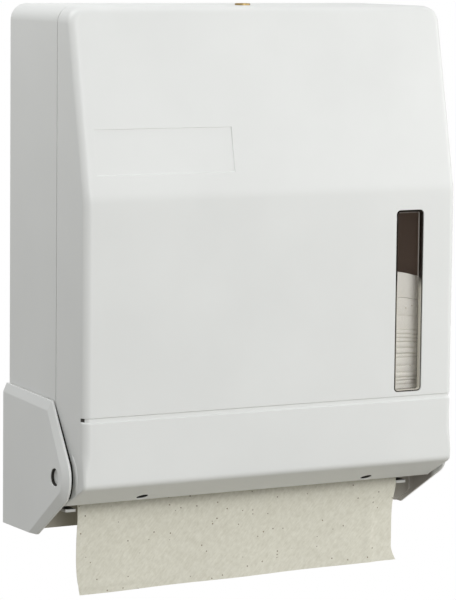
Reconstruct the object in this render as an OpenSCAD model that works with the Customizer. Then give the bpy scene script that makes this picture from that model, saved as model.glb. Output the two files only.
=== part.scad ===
// Wall-hung dispenser for folded paper towels, with a drop-down front cover.
// Millimetres. +Z is up, the wall is the plane y = 0 and the front faces -Y.
// The origin is the middle of the four wall screws, on the wall.
// Heights are given above the foot of the hinge ears, and depths from the wall.

/* [Casing] */
// Width over the flat sides
cabinet_w = 295; // [280:1:330]
// Height from the foot of the ears to the top
cabinet_h = 364.5; // [340:0.5:400]
// Depth of the rear casing, from the wall to the seam
casing_d = 73.4; // [68:0.2:76]
// Thickness of the sides, top and front
wall = 2.6; // [2:0.1:3]
// Thickness of the back panel
back_t = 3; // [2.5:0.1:4]
// Radius of the two top corners, seen from the front
top_r = 11.5; // [8:0.5:16]
// Gap between the casing and the cover along the seam
seam_gap = 0.4; // [0.3:0.1:0.8]
// Length of the tongue that the casing pushes under the cover
tongue_l = 5; // [3:0.5:7]
// Thickness of the tongue
tongue_t = 1.8; // [1.4:0.1:2.4]

/* [Wall screws] */
// Distance between the screw holes, left to right
screw_dx = 200; // [160:1:220]
// Distance between the screw holes, up and down
screw_dz = 220; // [180:1:230]
// Height of the middle of the screw pattern
screw_mid_h = 200; // [190:1:210]
// Radius of a wall screw hole
screw_hole_r = 3.25; // [2.5:0.05:4]
// Radius of the raised pad round a wall screw hole
screw_pad_r = 9; // [7:0.5:12]
// Height of that pad
screw_pad_t = 2; // [1:0.5:3]

/* [Cover] */
// Depth of the lower front
front_d = 117; // [113:0.5:126]
// Depth of the top edge of the sloping upper front
slope_top_d = 91; // [88:0.5:98]
// Height where the slope meets the upright front
crease_h = 237; // [232:1:246]
// Radius of the long front edges
edge_r = 5.5; // [4:0.5:7]
// Height of the groove across the front
groove_h = 87.8; // [84:0.2:88.6]
// Width of the groove
groove_w = 2.4; // [1.6:0.2:3]
// Depth of the groove
groove_cut = 1.2; // [0.6:0.1:1.5]
// Height of the front edge of the bottom lip
lip_h = 41.2; // [38:0.2:43]
// Height of the back edge of the bottom lip
lip_low_h = 25.4; // [24:0.2:27]
// Depth of the back edge of the bottom lip
lip_back_d = 87.5; // [85:0.5:90]
// Distance of each lip hole from the side
lip_hole_side = 57; // [37:0.5:87]
// Radius of a lip hole
lip_hole_r = 4.1; // [3.8:0.1:4.6]
// Distance of a lip hole from the back edge of the lip
lip_hole_in = 6.5; // [6:0.5:9]

/* [Label recess] */
// Distance of the bare label recess from the left side
label_side = 10.5; // [8:0.5:27]
// Width of the recess
label_w = 105.5; // [60:0.5:110]
// Height of the recess above the crease, along the slope
label_up = 15.5; // [12:0.5:40]
// Length of the recess up the slope
label_l = 31; // [20:0.5:40]
// Depth of the recess
label_cut = 0.5; // [0.3:0.1:0.8]

/* [Window] */
// Distance of the window from the right side
win_side = 27; // [25:0.5:45]
// Width of the window
win_w = 22.5; // [16:0.5:26]
// Height of the bottom of the window
win_h = 92.3; // [91:0.1:98]
// Length of the window
win_l = 129.4; // [100:0.2:134]
// Corner radius of the window
win_r = 3; // [2:0.5:4]
// Depth of the clear pan that fills the window
lens_cut = 3.6; // [3.2:0.2:6]
// Thickness of the pan's floor and rim
lens_t = 1.8; // [1.2:0.1:2.4]
// Thickness of the pan's sides
lens_side_t = 1.4; // [1:0.1:2]
// Width of the pan's rim beyond the window, behind the front wall
lens_rim = 8; // [7:0.5:9]
// Radius of the studs that hold the lens
stud_r = 1.5; // [1.2:0.1:1.7]
// Radius of the push-on clips
clip_r = 3; // [2.6:0.1:3.2]
// Thickness of the push-on clips
clip_t = 0.8; // [0.6:0.1:1]

/* [Hinge] */
// Depth of the hinge axis
pivot_d = 85; // [83:0.5:86]
// Height of the hinge axis
pivot_h = 45.5; // [45:0.25:47]
// Thickness of the hinge ears
ear_t = 4.4; // [4:0.1:6]
// Gap between the root of an ear and the side of the cover
ear_gap = 0.4; // [0.3:0.1:0.6]
// Distance that the nose of an ear stands further out than its root
ear_lean = 2.4; // [1.6:0.1:3]
// Thickness of the straight rim of an ear
ear_rim = 1.2; // [0.6:0.1:2]
// Radius of the nose of an ear
nose_r = 20; // [18:0.5:21]
// Width of the bevel round an ear
ear_bevel = 7; // [5:0.5:8]
// Height of an ear at the wall
ear_back_h = 99.5; // [95:0.5:110]
// Height of an ear at the seam
ear_front_h = 96; // [92:0.5:99]
// Depth of the foot of an ear
ear_foot_d = 45.5; // [40:0.5:50]
// Depth of the side wall behind an ear
cheek_d = 61.5; // [56:0.5:62]
// Radius of a hinge pin
pin_r = 5.7; // [4.5:0.1:6]
// Radial gap round a hinge pin in its ear
pin_gap = 0.35; // [0.3:0.05:0.5]
// Radial gap round a hinge pin in the cover
pin_fit = 0.05; // [0.03:0.01:0.1]
// Distance of the pin's end below the face of the ear
pin_recess = 2.4; // [1:0.1:2.8]
// Radius of the head of a pin
pin_head_r = 8; // [7:0.5:9]
// Thickness of the head of a pin
pin_head_t = 2; // [1.5:0.1:2.5]
// Length of the boss that holds a pin in the cover
pin_boss_l = 3; // [2:0.5:3.5]
// Radius of the shallow recess in the cover round the nose of an ear
nose_ring_r = 22.8; // [22:0.2:24]
// Depth of that recess
nose_ring_cut = 0.7; // [0.4:0.1:1]

/* [Tray and guides] */
// Height of the underside of the towel tray
tray_h = 48; // [48:0.5:52]
// Thickness of the tray
tray_t = 2.4; // [2:0.1:3]
// Room between the tray and the side walls
tray_side = 8.9; // [8:0.1:11]
// Room between the front edge of the tray and the front of the cover
tray_room = 10.5; // [10:0.5:11.5]
// Height of the upstand at the front of the tray
tray_up = 6; // [3:0.5:9]
// Height of the flange at the back of the tray
tray_flange = 14; // [12:0.5:18]
// Depth of the back of the dispensing slot
slot_d = 52; // [50:0.5:53]
// Width of the dispensing slot, front to back
slot_w = 20; // [16:0.5:21]
// Room between the side guides and the side walls
guide_side = 14.4; // [13:0.1:20]
// Room between the towels and the side guides
towel_room = 2; // [1:0.5:4]
// Thickness of the side guides
guide_t = 2; // [1.6:0.1:2.4]
// Height of the side guides above the tray
guide_l = 180; // [140:1:220]
// Depth of the front edge of the side guides
guide_d = 102; // [80:1:102]
// Width of the foot that fastens a side guide to the back
guide_foot = 10; // [9:0.5:11]
// Depth of the chute panel
chute_d = 40; // [36:0.5:42]
// Thickness of the chute panel and of its brackets
chute_t = 2.2; // [1.8:0.1:2.6]
// Height of the lower edge of the chute panel
chute_h = 2; // [0:0.5:6]
// Gap between the chute panel and the side walls
chute_gap = 0.4; // [0.3:0.1:0.6]
// Depth of the front of the chute brackets' lower tabs
tab_d = 71; // [66:0.5:72]
// Height of the lower tabs
tab_h = 17.6; // [16:0.2:20]
// Distance of the brackets from the towels
tab_room = 10; // [7:0.5:10]
// Radius of the small screws
small_r = 1.7; // [1.4:0.1:2]
// Radius of their heads
small_head_r = 3.2; // [2.6:0.1:3.6]
// Thickness of their heads
small_head_t = 1.8; // [1.4:0.1:2.2]

/* [Lip guide] */
// Room between the guide strip inside the lip and the side walls
strip_side = 20.9; // [17:0.1:27]
// Thickness of the strip
strip_t = 1.6; // [1.2:0.1:2]
// Length of the strip along the lip
strip_l = 20; // [16:0.5:24]
// Height of the screw bosses on the strip
strip_boss = 6; // [4:0.5:7]
// Radius of those bosses
strip_boss_r = 5.4; // [5:0.1:6]

/* [Lock] */
// Depth of the lock
lock_d = 66; // [64:0.2:66.4]
// Radius of the lock's head
lock_head_r = 5.4; // [5:0.1:6]
// Height of the lock's head above the top
lock_proud = 1.4; // [1:0.1:2]
// Radius of the threaded body of the lock
lock_r = 4.6; // [4:0.1:4.8]
// Length of the lock's body below the top wall
lock_l = 8; // [7:0.5:10]
// Radius of the key plug
plug_r = 3; // [2.6:0.1:3.4]
// Running gap round the key plug
plug_gap = 0.3; // [0.25:0.05:0.4]
// Width of the key slot
key_w = 1.2; // [0.8:0.1:1.6]
// Depth of the key slot
key_cut = 3; // [2:0.5:5]
// Radius of the washer
washer_r = 6.8; // [6.4:0.1:7.2]
// Thickness of the washer
washer_t = 0.8; // [0.6:0.1:1]
// Radius of the hexagon nut over its corners
nut_r = 7; // [6.4:0.1:7.4]
// Thickness of the nut
nut_t = 3; // [2.5:0.1:3.5]
// Thickness of the cam
cam_t = 1.8; // [1.4:0.1:2]
// Half of the width of the cam
cam_hw = 4.5; // [4:0.1:5]
// Reach of the cam from the axis of the lock
cam_reach = 17.5; // [17:0.1:19]
// Thickness of the upturned tip of the cam
cam_tip_t = 2.2; // [1.8:0.1:2.6]
// Height of the upturned tip
cam_tip_h = 4.4; // [3:0.1:4.6]
// Gap between the lock's body and the cam
cam_gap = 0.3; // [0.2:0.05:0.5]
// Thickness of the keeper plate under the cover's top
keeper_t = 1.5; // [1.2:0.1:1.8]
// Half of the width of the keeper plate
keeper_hw = 14; // [13:0.5:16]
// Thickness of the keeper's rib
rib_t = 2; // [1.6:0.1:2.2]
// Half of the width of the keeper's rib
rib_hw = 4; // [3:0.1:4.2]
// Distance of the rib from the axis of the lock
rib_off = 10.3; // [10.2:0.1:10.8]
// Height of the rib below the plate
rib_l = 6; // [4.8:0.1:6.2]

/* [Towels] */
// Depth of the back of the stack
stack_back_d = 18; // [12:0.5:24]
// Gap between the stack and the tray's upstand
stack_gap = 0.3; // [0.2:0.1:1]
// Height of the stack
stack_l = 125; // [60:1:180]
// Depth of the hanging towel below the chute
sheet_d = 68; // [66:0.25:68]
// Distance that the hanging towel leans back at the slot
sheet_lean = 10; // [8:0.5:11]
// Length of the hanging towel below the foot of the ears
sheet_drop = 42; // [20:1:60]
// Thickness of the hanging towel
sheet_t = 0.8; // [0.5:0.1:1]
// Height of the waves across the hanging towel
sheet_wave = 1; // [0.4:0.1:1.4]
// Waves across the hanging towel
sheet_waves = 2.5; // [1:0.5:4]

/* [Hidden] */
$fn = 64;

// Overlap that makes joined shapes one solid, and over-length of cuts
sink = 0.2;
past = 1;
// Gap between pieces that stand beside each other
side_gap = 0.4;
white = "whitesmoke";
shade = "gainsboro";
paper = "antiquewhite";

half_w = cabinet_w / 2;
inner_hw = half_w - wall;
inner_top_h = cabinet_h - wall;
cover_d = casing_d + seam_gap;

// Slope of the upper front and of the bottom lip
slope_a = atan((front_d - slope_top_d) / (cabinet_h - crease_h));
lip_a = atan((lip_h - lip_low_h) / (front_d - lip_back_d));
function slope_d(h) = front_d - (h - crease_h) * tan(slope_a);
function lip_at(d) = lip_low_h + (d - lip_back_d) * tan(lip_a);

// The hinge: ears outside the cover, and the round heel of the cover's sides
ear_in = half_w + ear_gap;
ear_out = ear_in + ear_t;
heel_corner_r = norm([lip_back_d - pivot_d, pivot_h - lip_low_h]);
heel_in = 0.6;
heel_r = heel_corner_r - heel_in;
heel_room = 1;
nose_out = ear_out + ear_lean;
pin_end = nose_out - pin_recess;
pin_seat = inner_hw - pin_boss_l;
ear_corner_in = 1.4;
ear_corner_d = casing_d - ear_corner_in;
// The lower edge of an ear runs from its foot to touch the round nose
foot_run = [pivot_d - ear_foot_d, pivot_h];
ear_low_a = atan2(foot_run[1], foot_run[0]) - asin(nose_r / norm(foot_run));
cheek_low_h = (cheek_d - ear_foot_d) * tan(ear_low_a);
cheek_step_h = pivot_h + heel_corner_r + heel_room;

// The tray stands clear above the turning lip
tray_top_h = tray_h + tray_t;
tray_hw = inner_hw - tray_side;
tray_front_d = front_d - tray_room;
guide_hw = inner_hw - guide_side;
towel_hw = guide_hw - towel_room;
tab_hw = towel_hw + tab_room;
stack_front_d = tray_front_d - tray_t - stack_gap;
slot_hw = guide_hw - side_gap;
tray_screw_dx = 70;
guide_foot_h = tray_top_h + tray_flange + side_gap;
guide_screw_at = [0.2, 0.8];

// Places across the cover, from its sides
label_x = label_side - half_w;
win_x = half_w - win_side - win_w;
lip_hole_x = half_w - lip_hole_side;
strip_hw = inner_hw - strip_side;

// The clear pan stands in the window, with its rim clipped behind the front wall
lens_d = front_d - lens_cut;
lens_fit = 0.15;
lens_low = 0.3;
rim_d = front_d - wall;
clip_d = rim_d - lens_t;
stud_in = lens_rim - clip_r;
stud_tail = 1;
stud_end_d = clip_d - clip_t - stud_tail;

// The lock, from the top wall down
nut_h = inner_top_h - washer_t - nut_t;
lock_end_h = inner_top_h - lock_l;
cam_top_h = lock_end_h - cam_gap;
cam_low_h = cam_top_h - cam_t;
keeper_h = inner_top_h - keeper_t;
keeper_back = 1;
keeper_front = 3.5;
keeper_d0 = cover_d + keeper_back;
keeper_d1 = slope_d(inner_top_h) - wall - keeper_front;
head_room = 0.8;
keeper_screw_x = keeper_hw - small_head_r - head_room;
keeper_screw_d = (keeper_d0 + keeper_d1) / 2;

// Small screws end this far below the outer skin
skin_left = 1;
tray_screw_l = tray_t + back_t - skin_left;
guide_screw_l = guide_t + back_t - skin_left;
keeper_screw_l = keeper_t + wall - skin_left;
lip_screw_tail = 2;
cam_hole_l = 4;
cam_screw_l = cam_t + cam_hole_l - side_gap;

// The key plug ends a little below the lock's head, and its slot is narrower than the plug
plug_low = 0.2;
key_share = 0.7;

// The tongue starts above the ears and stops on both sides of the lock
tongue_up = 8;
lock_room = 12;
lock_room_h = 20;

// The round front edges are cut a little wide, so that they meet the flat sides at a clear angle
edge_over = 0.1;

// The hanging towel starts below the stack and leans back above this height
sheet_gap = 0.6;
lean_h = 8;
sheet_top_h = tray_top_h - sheet_gap;
sheet_rows = 16;
sheet_cols = 24;

// Moves from heights above the ears' foot to the frame of the wall screws
module hang() { translate([0, 0, -screw_mid_h]) children(); }

// A shape drawn as [depth, height], from x0 to x1
module across(x0, x1) {
    translate([x1, 0, 0]) rotate([90, 0, -90]) linear_extrude(x1 - x0) children();
}

// A shape drawn as [x, height], from depth d0 to d1
module forward(d0, d1) {
    translate([0, -d0, 0]) rotate([90, 0, 0]) linear_extrude(d1 - d0) children();
}

// A block between two corners given as [x, depth, height]
module block(a, b) { translate([a[0], -b[1], a[2]]) cube([b[0] - a[0], b[1] - a[1], b[2] - a[2]]); }

// A round bar along X at [depth, height]
module bar(x0, x1, at, r) { translate([x0, -at[0], at[1]]) rotate([0, 90, 0]) cylinder(h = x1 - x0, r = r); }

module both_sides() {
    children();
    mirror([1, 0, 0]) children();
}

// The outline seen from the front, inset by some amount, with round top corners
module face_outline(inset) {
    r = top_r - inset;
    hw = half_w - inset;
    top = cabinet_h - inset;
    translate([-hw, 0]) square([2 * hw, top - r]);
    translate([-hw + r, 0]) square([2 * (hw - r), top]);
    for (s = [-1, 1]) translate([s * (hw - r), top - r]) circle(r);
}

// The casing's side: full depth above the hinge, set back behind the ear
module casing_side() {
    polygon([[0, 0], [ear_foot_d, 0], [cheek_d, cheek_low_h], [cheek_d, cheek_step_h],
        [casing_d, cheek_step_h], [casing_d, cabinet_h], [0, cabinet_h]]);
}

module tongue_ring(inset, d0, d1) {
    forward(d0, d1) difference() {
        face_outline(inset);
        face_outline(wall + seam_gap + tongue_t);
    }
}

// The tongue runs round the opening above the ears and leaves room for the lock
module tongue() {
    room = keeper_hw + lock_room;
    difference() {
        union() {
            tongue_ring(wall - sink, casing_d - tongue_l, casing_d);
            tongue_ring(wall + seam_gap, casing_d - sink, casing_d + tongue_l);
        }
        block([-half_w, 0, -past], [half_w, front_d, ear_back_h + tongue_up]);
        block([-room, 0, inner_top_h - lock_room_h], [room, front_d, cabinet_h]);
    }
}

// One ear: a bevelled plate whose nose leans out a little and is round about the hinge axis
module ear_plate() {
    skin = 0.02;
    foot_out_d = ear_foot_d - ear_bevel / 2;
    hull() {
        across(ear_in, ear_in + ear_rim)
            polygon([[0, 0], [ear_foot_d, 0], [ear_corner_d, ear_front_h], [0, ear_back_h]]);
        translate([ear_lean, 0, 0]) bar(ear_in, ear_in + ear_rim, [pivot_d, pivot_h], nose_r, $fn = 32);
        across(ear_out - skin, ear_out)
            polygon([[0, 0], [foot_out_d, 0], [ear_corner_d - ear_bevel / 3, ear_front_h - ear_bevel],
                [0, ear_back_h - ear_bevel]]);
        bar(nose_out - skin, nose_out, [pivot_d, pivot_h], nose_r - ear_bevel, $fn = 32);
    }
}

module screw_places(d0, d1, r) {
    for (x = [-1, 1], z = [-1, 1])
        translate([x * screw_dx / 2, -d0, screw_mid_h + z * screw_dz / 2])
            rotate([90, 0, 0]) cylinder(h = d1 - d0, r = r);
}

module rear_shell() {
    color(white) hang() difference() {
        union() {
            difference() {
                intersection() {
                    forward(0, casing_d) face_outline(0);
                    across(-half_w, half_w) casing_side();
                }
                forward(back_t, casing_d + past) difference() {
                    face_outline(wall);
                    translate([-half_w, -past]) square([cabinet_w, past]);
                }
                block([-inner_hw, back_t, -past], [inner_hw, casing_d + past, past]);
            }
            screw_places(back_t - sink, back_t + screw_pad_t, screw_pad_r);
            tongue();
            both_sides() ear_plate();
            both_sides() across(half_w - sink, ear_in + sink)
                polygon([[0, 0], [ear_foot_d, 0], [cheek_d, cheek_low_h], [cheek_d, ear_front_h],
                    [0, ear_front_h]]);
        }
        screw_places(-past, back_t + screw_pad_t + past, screw_hole_r);
        tray_screw_places() pilot(tray_screw_l);
        both_sides() guide_screw_places() pilot(guide_screw_l);
        both_sides() bar(ear_in - past, nose_out + past, [pivot_d, pivot_h], pin_r + pin_gap);
        translate([0, -lock_d, inner_top_h - past]) cylinder(h = wall + 2 * past, r = lock_r + plug_gap);
    }
}

// The cover's outline seen from the side, inset by some amount, open at the back
module cover_outline(inset, back_d) {
    top = cabinet_h - inset;
    r = edge_r - inset / 2;
    run = r * tan((90 - slope_a) / 2);
    corner_d = slope_d(top) - inset / cos(slope_a);
    crease = crease_h - inset * tan(slope_a / 2);
    lip_front_h = lip_at(front_d - inset) + inset / cos(lip_a);
    translate([corner_d - run, top - r]) circle(r);
    polygon([[back_d, top], [corner_d - run, top],
        [corner_d + run * sin(slope_a), top - run * cos(slope_a)], [front_d - inset, crease],
        [front_d - inset, lip_front_h], [lip_back_d, lip_low_h + inset / cos(lip_a)],
        [lip_back_d, pivot_h], [back_d, pivot_h]]);
}

module plan_outline() {
    hw = half_w + edge_over;
    translate([-hw, -front_d + edge_r]) square([2 * hw, front_d - edge_r]);
    translate([-hw + edge_r, -front_d]) square([2 * (hw - edge_r), front_d]);
    for (s = [-1, 1]) translate([s * (hw - edge_r), -front_d + edge_r]) circle(edge_r);
}

// Turns about the crease, with the crease at the origin
module about_crease(a) { translate([0, -front_d, crease_h]) rotate([-a, 0, 0]) children(); }

// Round front edges: what an upright prism and one that leans with the slope have in common
module rounded_plan() {
    big = 2 * cabinet_h;
    intersection() {
        linear_extrude(big) plan_outline();
        about_crease(slope_a) translate([0, front_d, -big]) linear_extrude(2 * big) plan_outline();
    }
}

// The sides end in a round heel about the hinge axis, behind the lip
module cover_solid() {
    hw = half_w + past;
    intersection() {
        union() {
            across(-hw, hw) cover_outline(0, cover_d);
            intersection() {
                bar(-hw, hw, [pivot_d, pivot_h], heel_r);
                block([-hw - past, 0, 0], [hw + past, lip_back_d + sink, cabinet_h]);
            }
        }
        forward(0, 2 * front_d) face_outline(0);
        rounded_plan();
    }
}

module cover_hollow() {
    intersection() {
        union() {
            across(-inner_hw, inner_hw) cover_outline(wall, 0);
            block([-inner_hw, 0, 0], [inner_hw, lip_back_d, pivot_h + past]);
        }
        forward(0, 2 * front_d) face_outline(wall);
    }
}

// Places a shape on the outside of the lip: x across, y up the lip, z out of it
module on_lip() {
    translate([0, -lip_back_d, lip_low_h]) rotate([180 - lip_a, 0, 0]) children();
}

module lip_hole_places() {
    for (s = [-1, 1]) on_lip() translate([s * lip_hole_x, lip_hole_in, 0]) children();
}

module window_shape(grow) {
    w = win_w + 2 * grow;
    l = win_l + 2 * grow;
    r = win_r + grow;
    translate([win_x - grow, win_h - grow]) {
        translate([r, 0]) square([w - 2 * r, l]);
        translate([0, r]) square([w, l - 2 * r]);
        for (x = [r, w - r], y = [r, l - r]) translate([x, y]) circle(r);
    }
}

module stud_places() {
    for (x = [win_x - stud_in, win_x + win_w + stud_in], h = [win_h + stud_in, win_h + win_l - stud_in])
        translate([x, 0, h]) children();
}

// The groove runs across the front and a little way round both corners
module groove() {
    cut_d = front_d - edge_r;
    translate([0, 0, groove_h - groove_w / 2]) linear_extrude(groove_w) difference() {
        translate([-half_w - past, -front_d - past]) square([cabinet_w + 2 * past, front_d - cut_d + past]);
        translate([-half_w + groove_cut, -front_d + groove_cut])
            square([cabinet_w - 2 * groove_cut, front_d]);
    }
}

module front_cover() {
    color(white) hang() difference() {
        union() {
            difference() {
                cover_solid();
                cover_hollow();
            }
            stud_places() translate([0, -stud_end_d, 0]) rotate([90, 0, 0])
                cylinder(h = rim_d + sink - stud_end_d, r = stud_r);
            both_sides() bar(pin_seat, inner_hw + sink, [pivot_d, pivot_h], pin_head_r);
        }
        forward(rim_d - past, front_d + past) window_shape(0);
        groove();
        about_crease(slope_a) translate([label_x, -past, label_up]) cube([label_w, past + label_cut, label_l]);
        lip_hole_places() translate([0, 0, -wall - past]) cylinder(h = wall + 2 * past, r = lip_hole_r);
        both_sides() bar(half_w - nose_ring_cut, half_w + past, [pivot_d, pivot_h], nose_ring_r);
        both_sides() bar(pin_seat - past, half_w + past, [pivot_d, pivot_h], pin_r + pin_fit);
        keeper_screw_places() pilot(keeper_screw_l);
    }
}

module window_lens() {
    color("lightcyan", 0.4) hang() difference() {
        union() {
            forward(clip_d, rim_d) window_shape(lens_rim);
            forward(lens_d - lens_t, front_d - lens_low) window_shape(-lens_fit);
        }
        forward(lens_d, front_d + past) window_shape(-lens_fit - lens_side_t);
        stud_places() translate([0, -front_d, 0]) rotate([-90, 0, 0])
            cylinder(h = front_d, r = stud_r + pin_fit);
    }
}

module lens_clips() {
    color("silver") hang() stud_places() translate([0, -clip_d, 0]) rotate([-90, 0, 0])
        difference() {
            cylinder(h = clip_t, r = clip_r);
            translate([0, 0, -past]) cylinder(h = clip_t + 2 * past, r = stud_r + pin_fit);
        }
}

// A strip inside the lip, with two bosses over the lip holes
module front_guide() {
    floor_z = -wall;
    color(shade) hang() difference() {
        union() {
            on_lip() translate([-strip_hw, 0, floor_z - strip_t]) cube([2 * strip_hw, strip_l, strip_t]);
            lip_hole_places() translate([0, 0, floor_z - strip_boss])
                cylinder(h = strip_boss, r = strip_boss_r);
        }
        lip_hole_places() translate([0, 0, floor_z - strip_boss + strip_t])
            cylinder(h = strip_boss + past, r = lip_hole_r);
        lip_hole_places() translate([0, 0, floor_z - strip_boss - past])
            cylinder(h = strip_boss, r = small_r + pin_fit);
    }
}

// A small screw whose head stands on z = 0, and the hole that it cuts
module small_screw(l) {
    cylinder(h = small_head_t, r = small_head_r);
    translate([0, 0, -l]) cylinder(h = l + sink, r = small_r);
}

module pilot(l) { translate([0, 0, -l - sink]) cylinder(h = l + sink + past, r = small_r + pin_fit); }

// Screws that come up through the lip holes into the strip's bosses
module lip_screws() {
    color("silver") hang() lip_hole_places() translate([0, 0, -wall - strip_boss + strip_t])
        small_screw(strip_t + lip_screw_tail);
}

module hinge_pin() {
    bar(pin_seat - pin_head_t, pin_seat, [pivot_d, pivot_h], pin_head_r);
    bar(pin_seat - sink, pin_end, [pivot_d, pivot_h], pin_r);
}

module right_hinge_pin() { color(white) hang() hinge_pin(); }

module left_hinge_pin() { color(white) hang() mirror([1, 0, 0]) hinge_pin(); }

module tray_screw_places() {
    for (k = [-1.5 : 1 : 1.5])
        translate([k * tray_screw_dx, -back_t - tray_t, tray_top_h + tray_flange / 2])
            rotate([90, 0, 0]) children();
}

// The tray carries the stack, and its slot lets one towel through
module towel_tray() {
    color(shade) hang() difference() {
        union() {
            block([-tray_hw, back_t, tray_h], [tray_hw, tray_front_d, tray_top_h]);
            block([-tray_hw, tray_front_d - tray_t, tray_h], [tray_hw, tray_front_d, tray_top_h + tray_up]);
            block([-tray_hw, back_t, tray_h], [tray_hw, back_t + tray_t, tray_top_h + tray_flange]);
        }
        block([-slot_hw, slot_d, tray_h - past], [slot_hw, slot_d + slot_w, tray_top_h + past]);
        tray_screw_places() pilot(tray_screw_l);
    }
}

module tray_screws() { color("silver") hang() tray_screw_places() small_screw(tray_screw_l); }

module chute_panel() {
    hw = inner_hw - chute_gap;
    color("dimgray") hang() block([-hw, chute_d, chute_h], [hw, chute_d + chute_t, tray_h]);
}

// A bracket under the tray, with a tab turned in below the towel's edge
module chute_bracket() {
    d0 = chute_d + chute_t;
    block([tab_hw - chute_t, d0, tab_h], [tab_hw, cheek_d, tray_h]);
    block([guide_hw, d0, tab_h], [tab_hw, tab_d, tab_h + chute_t]);
}

module right_chute_bracket() { color(white) hang() chute_bracket(); }

module left_chute_bracket() { color(white) hang() mirror([1, 0, 0]) chute_bracket(); }

module guide_screw_places() {
    for (k = guide_screw_at)
        translate([guide_hw + guide_t + guide_foot / 2, -back_t - guide_t, guide_foot_h + k * guide_l])
            rotate([90, 0, 0]) children();
}

// A fence beside the stack, fastened to the back by its foot
module towel_guide() {
    top_h = guide_foot_h + guide_l;
    difference() {
        union() {
            block([guide_hw, back_t + tray_t + side_gap, tray_top_h], [guide_hw + guide_t, guide_d, top_h]);
            block([guide_hw, back_t, guide_foot_h], [guide_hw + guide_t + guide_foot, back_t + guide_t, top_h]);
            block([guide_hw, back_t, guide_foot_h], [guide_hw + guide_t, guide_d, top_h]);
        }
        guide_screw_places() pilot(guide_screw_l);
    }
}

module right_towel_guide() { color(shade) hang() towel_guide(); }

module left_towel_guide() { color(shade) hang() mirror([1, 0, 0]) towel_guide(); }

module guide_screws() {
    color("silver") hang() both_sides() guide_screw_places() small_screw(guide_screw_l);
}

module lock_barrel() {
    color("goldenrod") hang() translate([0, -lock_d, 0]) difference() {
        union() {
            translate([0, 0, cabinet_h]) cylinder(h = lock_proud, r = lock_head_r);
            translate([0, 0, lock_end_h]) cylinder(h = cabinet_h + sink - lock_end_h, r = lock_r);
        }
        translate([0, 0, lock_end_h - past])
            cylinder(h = cabinet_h + lock_proud - lock_end_h + 2 * past, r = plug_r + plug_gap);
    }
}

module lock_washer() {
    color("silver") hang() translate([0, -lock_d, inner_top_h - washer_t]) difference() {
        cylinder(h = washer_t, r = washer_r);
        translate([0, 0, -past]) cylinder(h = washer_t + 2 * past, r = lock_r + pin_fit);
    }
}

module lock_nut() {
    color("silver") hang() translate([0, -lock_d, nut_h]) difference() {
        cylinder(h = nut_t, r = nut_r, $fn = 6);
        translate([0, 0, -past]) cylinder(h = nut_t + 2 * past, r = lock_r + pin_fit);
    }
}

// The key plug turns in the barrel and carries the cam on its lower end
module lock_plug() {
    top = cabinet_h + lock_proud;
    color("darkgoldenrod") hang() translate([0, -lock_d, 0]) difference() {
        translate([0, 0, cam_top_h]) cylinder(h = top - plug_low - cam_top_h, r = plug_r);
        translate([-key_w / 2, -plug_r * key_share, top - key_cut])
            cube([key_w, 2 * plug_r * key_share, key_cut + past]);
        translate([0, 0, cam_top_h - past]) cylinder(h = cam_hole_l + past, r = small_r + pin_fit);
    }
}

// At rest the cam points along +X, clear of the keeper
module lock_cam() {
    color("silver") hang() translate([0, -lock_d, cam_low_h]) difference() {
        union() {
            cylinder(h = cam_t, r = cam_hw);
            translate([0, -cam_hw, 0]) cube([cam_reach, 2 * cam_hw, cam_t]);
            translate([cam_reach - cam_tip_t, -cam_hw, 0]) cube([cam_tip_t, 2 * cam_hw, cam_t + cam_tip_h]);
        }
        translate([0, 0, -past]) cylinder(h = cam_t + 2 * past, r = small_r + pin_fit);
    }
}

module cam_screw() {
    color("silver") hang() translate([0, -lock_d, cam_low_h]) rotate([180, 0, 0]) small_screw(cam_screw_l);
}

module keeper_screw_places() {
    for (s = [-1, 1]) translate([s * keeper_screw_x, -keeper_screw_d, keeper_h]) rotate([180, 0, 0]) children();
}

// A plate under the cover's top, with the rib that the cam's tip catches
module lock_keeper() {
    rib_d = lock_d + rib_off;
    color("silver") hang() difference() {
        union() {
            block([-keeper_hw, keeper_d0, keeper_h], [keeper_hw, keeper_d1, inner_top_h]);
            block([-rib_hw, rib_d, keeper_h - rib_l], [rib_hw, rib_d + rib_t, keeper_h + sink]);
        }
        keeper_screw_places() pilot(keeper_screw_l);
    }
}

module keeper_screws() { color("silver") hang() keeper_screw_places() small_screw(keeper_screw_l); }

module towel_stack() {
    color(paper) hang()
        block([-towel_hw, stack_back_d, tray_top_h], [towel_hw, stack_front_d, tray_top_h + stack_l]);
}

// The hanging towel: a thin sheet that leans forward out of the slot and waves a little
function ease(t) = t * t * (3 - 2 * t);
function sheet_lean_at(h) = sheet_lean * ease(min(1, max(0, (h - lean_h) / (sheet_top_h - lean_h))));
function sheet_point(i, j, t) = let (
        u = i / sheet_cols,
        v = j / sheet_rows,
        h = sheet_top_h - v * (sheet_top_h + sheet_drop),
        wave = sheet_wave * v * sin(360 * sheet_waves * u)
    ) [2 * towel_hw * (u - 0.5), -(sheet_d - sheet_lean_at(h) + wave + t), h];
function sheet_side(t) = [for (j = [0 : sheet_rows], i = [0 : sheet_cols]) sheet_point(i, j, t)];

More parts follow.
